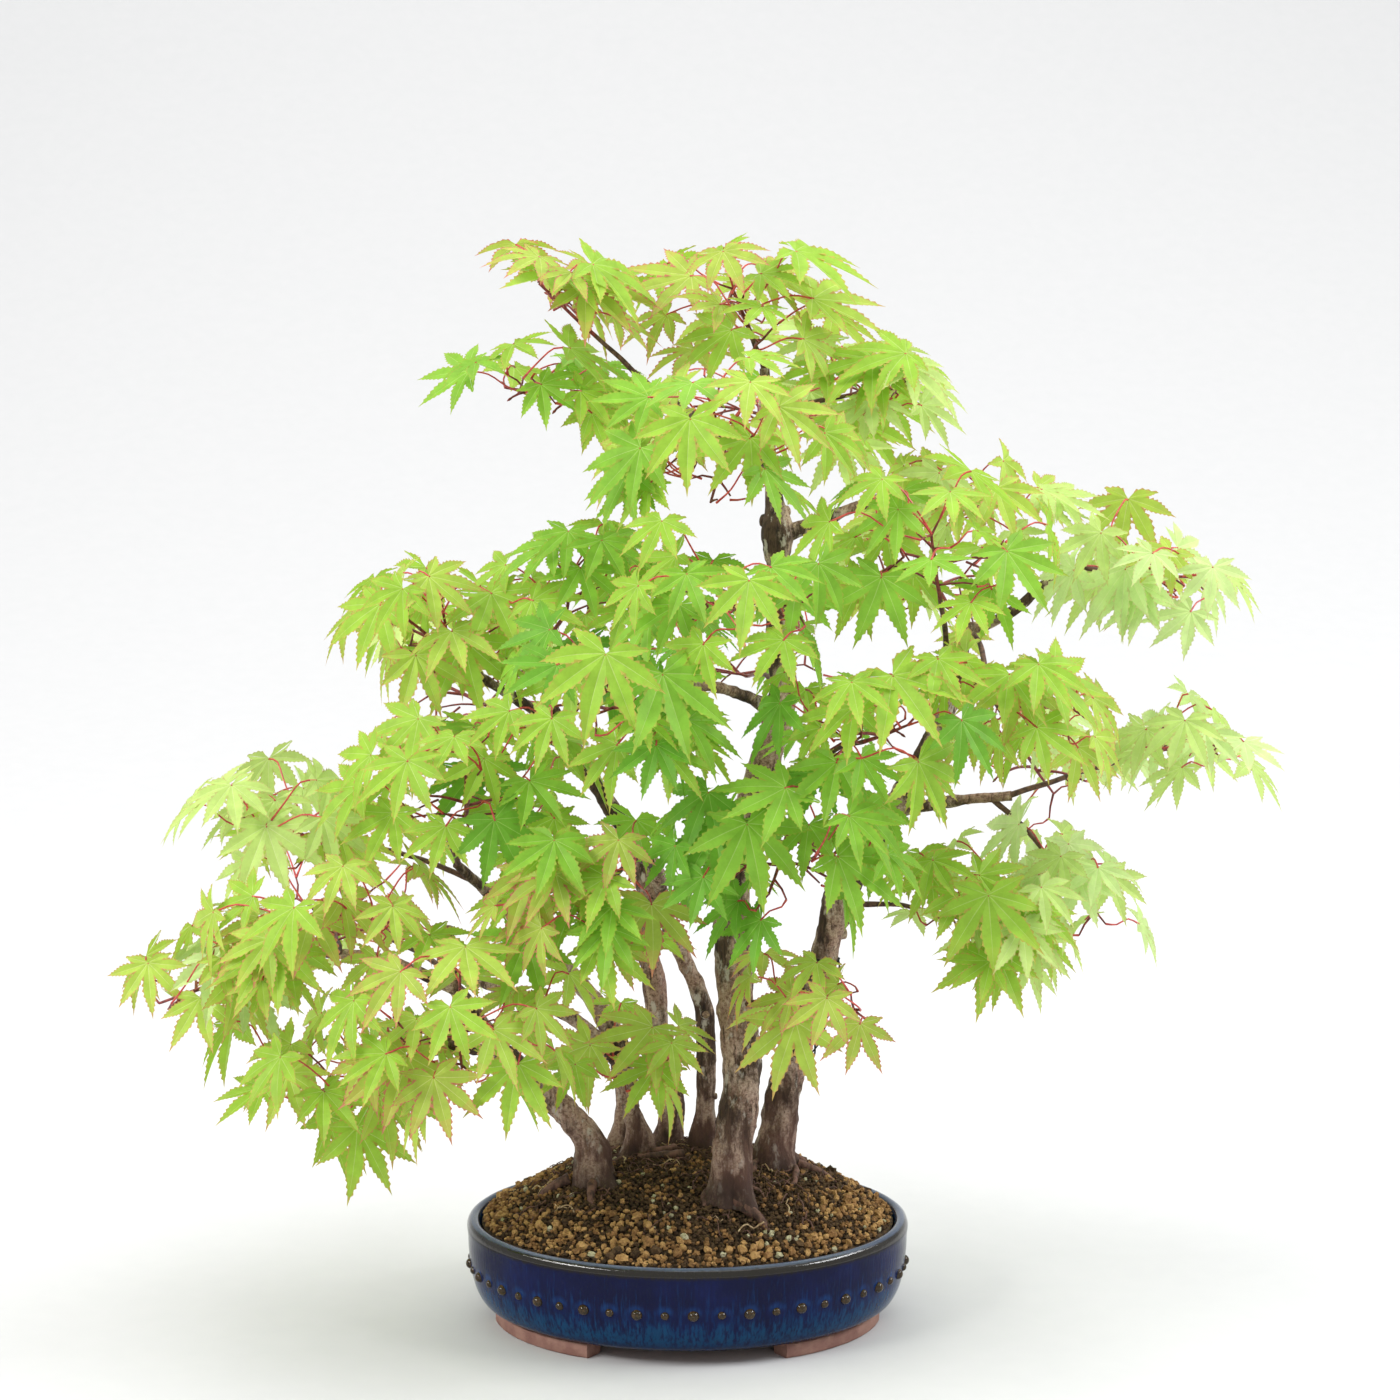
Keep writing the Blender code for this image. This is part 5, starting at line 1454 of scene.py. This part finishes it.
class Spray:
    """A mass of foliage: shoots that branch in opposite pairs inside one rounded space."""

    def __init__(self, name, limb, share, middle, half, leaves, seed):
        self.name = name
        self.middle = Vector(middle) * MM
        self.half = Vector(half) * MM
        self.behind = self.middle.y > BEHIND
        self.count = round(leaves * LEAVES_FOR_ONE * FULLNESS.get(name, 1.0))
        self.pairs = 1 + (leaves >= TWO_PAIRS)
        self.rng = random.Random(seed)
        self.seed = seed
        self.leaves = []
        self.grow_shoots(limb, share)
        self.grow_fine_shoots()

    def depth(self, point):
        """0 in the middle of the space and 1 at its edge."""
        offset = point - self.middle
        return math.sqrt(sum((offset[i] / self.half[i]) ** 2 for i in range(3)))

    def reach(self, direction):
        """How far the space reaches from its middle that way."""
        return 1.0 / math.sqrt(sum((direction[i] / self.half[i]) ** 2 for i in range(3)))

    def grow_shoots(self, limb, share):
        """The stem with its leading shoot, and the opposite pairs of side shoots, as in the solid."""
        root, forward, _ = limb.at(share)
        from_tip = share >= 1.0
        if from_tip:
            root = root - forward * STEM_START
        outward = (self.middle - root).normalized()
        first = self.middle - outward * STEM_INSET * self.reach(outward)
        lead = self.middle + outward * LEADER_REACH * self.reach(outward)
        length = (first - root).length
        bend = root.lerp(first, 0.5) + Vector((0.0, 0.0, STEM_LIFT * length))
        if from_tip:
            bend = bend + (forward - outward) * STEM_SWEEP * length
        self.stem = [root, bend, first, self.middle, lead]
        self.outward = outward
        self.shoots = [(self.middle, lead)]
        side = outward.cross(Vector((0.0, 0.0, 1.0))).normalized()
        above = side.cross(outward)
        for node, across in ((self.middle, side), (first, above))[:self.pairs]:
            for turn in (1.0, -1.0):
                slant = (across * turn + outward * self.rng.uniform(0.15, 0.45)).normalized()
                tip = self.middle + slant * SIDE_REACH * self.reach(slant)
                origin = node + outward * PAIR_OFFSET * turn
                self.shoots.append((origin, tip))

    def grow_fine_shoots(self):
        """The same rule once more: pairs of fine shoots from the shoots, and short ones at the stem.

        Runs are numbered: the shoots first, then the fine ones. A fine run knows its parent and where
        it leaves it, and a hub, where leaves may grow, knows its run and its place along it.
        """
        rng = self.rng
        self.fine = []
        self.hubs = []
        parents = [(number, *ends) for number, ends in enumerate(self.shoots)]
        first = self.stem[2]
        side = self.outward.cross(Vector((0.0, 0.0, 1.0))).normalized()
        for turn in (1.0, -1.0):
            slant = (side * turn + self.outward * 0.2 + Vector((0, 0, rng.uniform(-0.2, 0.5)))).normalized()
            tip = first + slant * LOW_REACH * self.reach(slant)
            parents.append((len(self.shoots) + len(self.fine), first, tip))
            self.fine.append(([first, first.lerp(tip, 0.5) + Vector((0, 0, 0.0015)), tip], None, 0.0))
        for number, root, tip in parents:
            forward = (tip - root).normalized()
            length = (tip - root).length
            across = forward.orthogonal().normalized()
            self.hubs.append((tip, forward, number, 1.0))
            for share, long in FINE_PAIRS:
                node = root.lerp(tip, share)
                across = forward.cross(across).normalized()
                for turn in (1.0, -1.0):
                    slant = (across * turn + forward * rng.uniform(0.5, 0.9)).normalized()
                    end = node + slant * length * long * rng.uniform(0.7, 1.0)
                    self.grow_fine(number, share, node, end, across * turn)
            self.hubs.append((root.lerp(tip, 0.75), forward, number, 0.75))

    def grow_fine(self, parent, share, node, end, across):
        """One fine shoot, drawn back into the space, with its hubs, unless it comes out too short."""
        while (end - node).length > FINE_SHORTEST and self.depth(end) > FINE_REACH:
            end = node.lerp(end, 0.85)
        if (end - node).length < FINE_SHORTEST:
            return
        rise = (end - node).length * 0.09
        bow = node.lerp(end, 0.5) + across * rise + Vector((0, 0, rise * 0.6))
        run = len(self.shoots) + len(self.fine)
        self.fine.append(([node, bow, end], parent, share))
        self.hubs.append((end, (end - node).normalized(), run, 1.0))
        if (end - node).length > FINE_FORKED:
            self.hubs.append((node.lerp(end, 0.6), (end - node).normalized(), run, 0.6))

    def offer(self):
        """One leaf that might grow: where its stalk leaves a shoot, and its blade's place and turn."""
        rng = self.rng
        number = rng.randrange(len(self.hubs))
        hub, forward = self.hubs[number][:2]
        level = Vector((forward.x, forward.y, 0.0))
        away = Vector((hub.x - self.middle.x, hub.y - self.middle.y, 0.0))
        level = level.normalized() * 0.6 + (away.normalized() if away.length > 0.002 else level)
        if level.length < 0.2:
            level = Vector((self.middle.x, self.middle.y - 0.01, 0.0))
        level = Matrix.Rotation(math.radians(rng.uniform(-95, 95)), 3, "Z") @ level.normalized()
        stalk = (level + Vector((0.0, 0.0, forward.z * 0.5 + rng.uniform(-0.35, 0.75)))).normalized()
        low, high = LEAF_DROOP
        if hub.z > CROWN_HEIGHT:
            low, high = low - CROWN_LIFT[0], high - CROWN_LIFT[1]
        droop = math.radians(rng.uniform(low, high))
        heading = Matrix.Rotation(math.radians(rng.uniform(-45, 45)), 3, "Z") @ level
        along = heading * math.cos(droop) - Vector((0.0, 0.0, math.sin(droop)))
        facing = 1.0 if self.behind else -1.0
        up = Vector((rng.uniform(-0.2, 0.2), facing * TOWARDS_LIGHT * rng.uniform(0.4, 1.3), 1.0))
        joint = hub + stalk * rng.uniform(*STALK_LENGTH)
        size = rng.uniform(*LEAF_LENGTH[self.behind])
        return number, hub, joint, frame_of(joint, along, up + level * 0.35, size), size

    def fits(self, matrix, points, halfway):
        """Whether a leaf keeps to its space, the openings and the heights, and shows its face."""
        if any(self.depth(point) > TIP_REACH or outside(point) for point in points):
            return False
        if any(seen_in(point, OPENINGS) for point in points + halfway):
            return False
        if not self.behind and edge_on(matrix):
            return False
        return points[0].z >= JOINT_FLOOR and min(point.z for point in points) >= TIP_FLOOR

    def grow_leaves(self, limbs, world, cover):
        """Leaves in turn: of many that fit the space and touch nothing, the one with most room."""
        used = {}
        for _ in range(self.count):
            best = None
            for _ in range(LEAF_TRIES):
                number, hub, joint, matrix, size = self.offer()
                if used.get(number, 0) >= LEAVES_A_HUB:
                    continue
                place = matrix @ Vector((0.0, BLADE_MIDDLE, 0.0))
                near = [other for other in world if (other[0] - place).length < LEAF_ROOM]
                room = min((apart(place, other[0]) for other in near), default=LEAF_ROOM)
                room += THICKET_PULL * seen_in(place, THICKETS)
                points = outline_of(matrix)
                halfway = [points[0].lerp(tip, 0.6) for tip in points[1::2]]
                if self.behind:
                    room += HIDDEN_PULL * cover.share(points + halfway)
                if best is not None and room <= best[0]:
                    continue
                if not self.fits(matrix, points, halfway):
                    continue
                tree = BVHTree.FromPolygons(points, [(0, i, i + 1) for i in range(1, len(points) - 1)])
                if any(tree.overlap(other) for other in limbs + [leaf[1] for leaf in near]):
                    continue
                best = (room, number, (hub, self.hubs[number][1], joint, matrix, size), place, tree, points)
            if best is None:
                continue
            _, number, leaf, place, tree, points = best
            used[number] = used.get(number, 0) + 1
            world.append((place, tree))
            cover.add(points)
            self.leaves.append(leaf)
        self.trim(used)

    def trim(self, used):
        """How far each run is kept: to the last leaf or kept side run that it bears."""
        self.kept = {}
        for number in used:
            _, _, run, share = self.hubs[number]
            self.kept[run] = max(self.kept.get(run, 0.0), share)
        for run in range(len(self.fine) - 1, -1, -1):
            _, parent, share = self.fine[run]
            if parent is not None and len(self.shoots) + run in self.kept:
                self.kept[parent] = max(self.kept.get(parent, 0.0), share)

    def dress(self, shapes, tints, woods, stalk):
        """The spray's leaves as one piece, and its twigs and leaf stalks as another."""
        rng = random.Random(self.seed + 900)
        leaves = Piece(f"{self.name}_blades")
        tint = TINTS_OF[self.name]
        for _, _, _, matrix, size in self.leaves:
            shape = rng.choice(shapes)
            basis = np.array(matrix.to_3x3()) / size
            laid = shape.laid(size, rng.uniform(0.02, 0.14), rng)
            corners = laid @ basis.T + np.array(matrix.translation)
            parts = tints[rng.choice(tint)]
            leaves.add(corners.tolist(), shape.faces, [parts[zone] for zone in shape.zones])
        leaves.finish("maple_foliage", self.name, smooth=False)

        twigs = Piece(f"{self.name}_twigs")
        self.add_stem(twigs, *woods)
        self.add_shoots(twigs, woods[1], rng)
        self.add_stalks(twigs, stalk, rng)
        twigs.finish("maple_foliage", self.name, sharp=60.0)

    def add_stem(self, twigs, old, young):
        """The stem, a little uneven, in old skin up to its first node and in young skin beyond."""
        lead = self.kept.get(0, 0.0)
        stem = self.stem[:-1] + ([self.stem[-2].lerp(self.stem[-1], lead)] if lead else [])
        path = smooth_path(stem, STEM_RING)
        wander = [Vector((noise.noise(point * 60), noise.noise(point * 60 + Vector((9, 0, 0))),
                          noise.noise(point * 60 + Vector((0, 9, 0))))) * 0.0008 for point in path]
        path = [point + shift * min(1.0, index / 4) for index, (point, shift) in enumerate(zip(path, wander))]
        thick, thin = STEM_TWIG
        widths = [(thick + (thin - thick) * share) * (1.0 + 0.22 * max(0.0, noise.noise(point * 260)))
                  for share, point in zip(shares_along(path), path)]
        split = max(2, round(len(path) * 0.55))
        tube(twigs, path[:split], widths[:split], 8, old)
        tube(twigs, path[split - 1:], widths[split - 1:], 8, young)

    def add_shoots(self, twigs, young, rng):
        """The kept shoots, and now and then a budded spur where a fine one bears no leaf."""
        for number, (root, tip) in enumerate(self.shoots):
            if number and number in self.kept:
                bow = root.lerp(tip, 0.5) + Vector((0.0, 0.0, 0.0016))
                twig_run(twigs, [root, bow, tip], self.kept[number], SHOOT_TWIG, SHOOT_RING, young)
        for number, (points, parent, share) in enumerate(self.fine, len(self.shoots)):
            if number in self.kept:
                twig_run(twigs, points, self.kept[number], FINE_TWIG, FINE_RING, young)
            elif rng.random() < BARE_SPURS and self.kept.get(parent, 0.0) >= share:
                spur = [points[0], points[0].lerp(points[1], 0.4), points[0].lerp(points[-1], 0.3)]
                end = twig_run(twigs, spur, 1.0, SPUR_TWIG, FINE_RING, young)
                bud(twigs, end[-1], (end[-1] - end[-2]).normalized(), young)

    def add_stalks(self, twigs, stalk, rng):
        """A curved stalk from its shoot to each blade, thicker at both ends."""
        for hub, forward, joint, matrix, size in self.leaves:
            length = (joint - hub).length
            along = matrix.col[1].xyz.normalized()
            lift = Vector((0.0, 0.0, length * rng.uniform(0.03, 0.14)))
            leaving = hub.lerp(joint, 0.26) + forward * length * 0.10 + lift * 0.5
            landing = hub.lerp(joint, 0.72) - along * length * 0.06 + lift
            run = smooth_path([hub, leaving, landing, joint + along * size * 0.02], max(0.003, length / 8))
            widths = [0.00042 + 0.00022 * (1 - share) ** 6 + 0.00010 * share ** 8
                      for share in shares_along(run)]
            tube(twigs, run, widths, 5, stalk)


def twig_run(piece, points, kept, widths, step, finish):
    """A tapering run of twig, kept up to a share of its length."""
    path = smooth_path(points, step)
    path = path[:max(2, math.ceil(len(path) * kept))]
    thick, thin = widths
    tube(piece, path, [thick + (thin - thick) * share for share in shares_along(path)], 6, finish)
    return path


def bud(piece, place, forward, finish):
    """A small pointed bud at the end of a spur."""
    tube(piece, [place + forward * way for way, _ in BUD_LINE], [radius for _, radius in BUD_LINE], 6, finish)


# ---------------------------------------------------------------- the whole

WORLD_LIGHT = 0.62
LIGHTS_MEET = (0.0, 0.0, 0.25)  # the soft lights all point here
# Soft lights: place, length and height, power and colour.
LIGHTS = (
    ("overhead", (0.2, 0.4, 3.2), (5.0, 5.0), 144.0, (1.0, 0.99, 0.97)),
    ("left_strip", (-1.9, -1.1, 1.5), (1.5, 0.20), 44.0, (1.0, 0.98, 0.96)),
    ("right_strip", (2.0, -0.3, 1.5), (1.5, 0.20), 34.0, (0.97, 0.98, 1.0)),
)
FLOOR_FRONT = -4.0
FLOOR_BACK = 1.0                # behind this the floor curves up
FLOOR_CURVE = 3.2
FLOOR_TOP = 6.0
FLOOR_HALF = 6.0
LENS = 89.92                    # in millimetres, on a sensor 36 mm wide
LENS_TILT = 81.0                # in degrees up from straight down


def leaf_tints():
    """Each tint: finishes of the blade, its outer part, its edge and its ribs."""
    return [tuple(leaf_finish(f"leaf_{name}_{part}", colour)
                  for part, colour in zip(("blade", "outer", "edge", "rib"), row))
            for name, *row in TINTS]


def grow_tree():
    """Stems and boughs in bark, then every spray: shoots first for all, then leaves."""
    bark, wood = bark_finish(), wood_finish()
    limbs = {name: Limb(name, **sizes) for name, sizes in {**TRUNKS, **BOUGHS}.items()}
    for limb in limbs.values():
        limb.dress(bark, wood)
    guards = [run_tree(limb.points, max(limb.radii) * 0.6 + LIMB_CLEAR) for limb in limbs.values()]
    sprays = [Spray(name, limbs[row[0]], *row[1:], seed) for seed, (name, row) in enumerate(SPRAYS.items())]
    guards += [run_tree(smooth_path(spray.stem, 0.012), 0.0016) for spray in sprays]
    tints = leaf_tints()
    rng = random.Random(11)
    shapes = [LeafShape(rng) for _ in range(LEAF_SHAPES)]
    woods = (twig_finish("old_twig", (0.050, 0.024, 0.018), (0.150, 0.075, 0.050), 0.6),
             twig_finish("young_twig", (0.120, 0.018, 0.018), (0.260, 0.040, 0.035), 0.45))
    stalk = twig_finish("leaf_stalk", (0.420, 0.035, 0.040), (0.620, 0.090, 0.070), 0.4)
    world = []
    cover = FrontCover()
    for spray in sorted(sprays, key=lambda spray: spray.behind):
        spray.grow_leaves(guards, world, cover)
        spray.dress(shapes, tints, woods, stalk)
    return limbs


def make_floor():
    """A plain pale floor that curves up behind."""
    profile = [(FLOOR_FRONT, 0.0), (FLOOR_BACK, 0.0)]
    for step in range(1, 25):
        turn = math.pi / 2 * step / 24
        profile.append((FLOOR_BACK + FLOOR_CURVE * math.sin(turn),
                        FLOOR_CURVE - FLOOR_CURVE * math.cos(turn)))
    profile.append((FLOOR_BACK + FLOOR_CURVE, FLOOR_TOP))
    mesh = bpy.data.meshes.new("floor")
    corners = [(x, y, z) for y, z in profile for x in (-FLOOR_HALF, FLOOR_HALF)]
    faces = [(2 * row, 2 * row + 1, 2 * row + 3, 2 * row + 2) for row in range(len(profile) - 1)]
    mesh.from_pydata(corners, [], faces)
    mesh.shade_smooth()
    mesh.materials.append(floor_finish().material)
    ground = bpy.data.objects.new("floor", mesh)
    bpy.context.scene.collection.objects.link(ground)


def set_lights():
    """Soft light from above, a strip at each side and a pale sky."""
    world = bpy.data.worlds.new("studio")
    world.use_nodes = True
    world.node_tree.nodes["Background"].inputs["Color"].default_value = (0.97, 0.985, 1.0, 1.0)
    world.node_tree.nodes["Background"].inputs["Strength"].default_value = WORLD_LIGHT
    bpy.context.scene.world = world

    for name, place, size, power, colour in LIGHTS:
        light = bpy.data.lights.new(name, "AREA")
        light.shape = "RECTANGLE"
        light.size, light.size_y = size
        light.energy = power
        light.color = colour
        lamp = bpy.data.objects.new(name, light)
        lamp.location = place
        lamp.rotation_euler = (Vector(LIGHTS_MEET) - Vector(place)).to_track_quat("-Z", "Y").to_euler()
        bpy.context.scene.collection.objects.link(lamp)


def set_camera():
    """The front camera."""
    data = bpy.data.cameras.new("camera")
    data.sensor_width = 36.0
    data.lens = LENS
    camera = bpy.data.objects.new("camera", data)
    camera.location = EYE
    camera.rotation_euler = (math.radians(LENS_TILT), 0.0, 0.0)
    bpy.context.scene.collection.objects.link(camera)
    bpy.context.scene.camera = camera
    bpy.context.scene.view_settings.view_transform = "Standard"


def build():
    """Everything, in the order it is potted."""
    clay = clay_finish()
    make_bowl(glaze_finish("cobalt_glaze", 0.12), glaze_finish("lip_glaze", 0.45), clay)
    make_studs(stud_finish())
    for front, side in ((-1, -1), (-1, 1), (1, -1), (1, 1)):
        make_foot(front, side, clay)
    make_soil_bed(grain_finish("fine_soil", (0.022, 0.014, 0.009), (0.120, 0.075, 0.038)))
    make_grains((grain_finish("grit_tan", (0.280, 0.150, 0.052), (0.560, 0.340, 0.135)),
                 grain_finish("grit_brown", (0.150, 0.078, 0.028), (0.360, 0.195, 0.075)),
                 grain_finish("grit_pale", (0.330, 0.300, 0.160), (0.600, 0.560, 0.380)),
                 grain_finish("grit_dark", (0.030, 0.018, 0.010), (0.120, 0.070, 0.032))))
    limbs = grow_tree()
    root = root_finish()
    make_roots(root)
    make_rootlets(root, twig_finish("straw", (0.320, 0.210, 0.110), (0.600, 0.450, 0.260), 0.7))
    make_wire(limbs["trunk_right"], wire_finish())
    make_floor()
    set_lights()
    set_camera()


build()
bpy.context.view_layer.update()
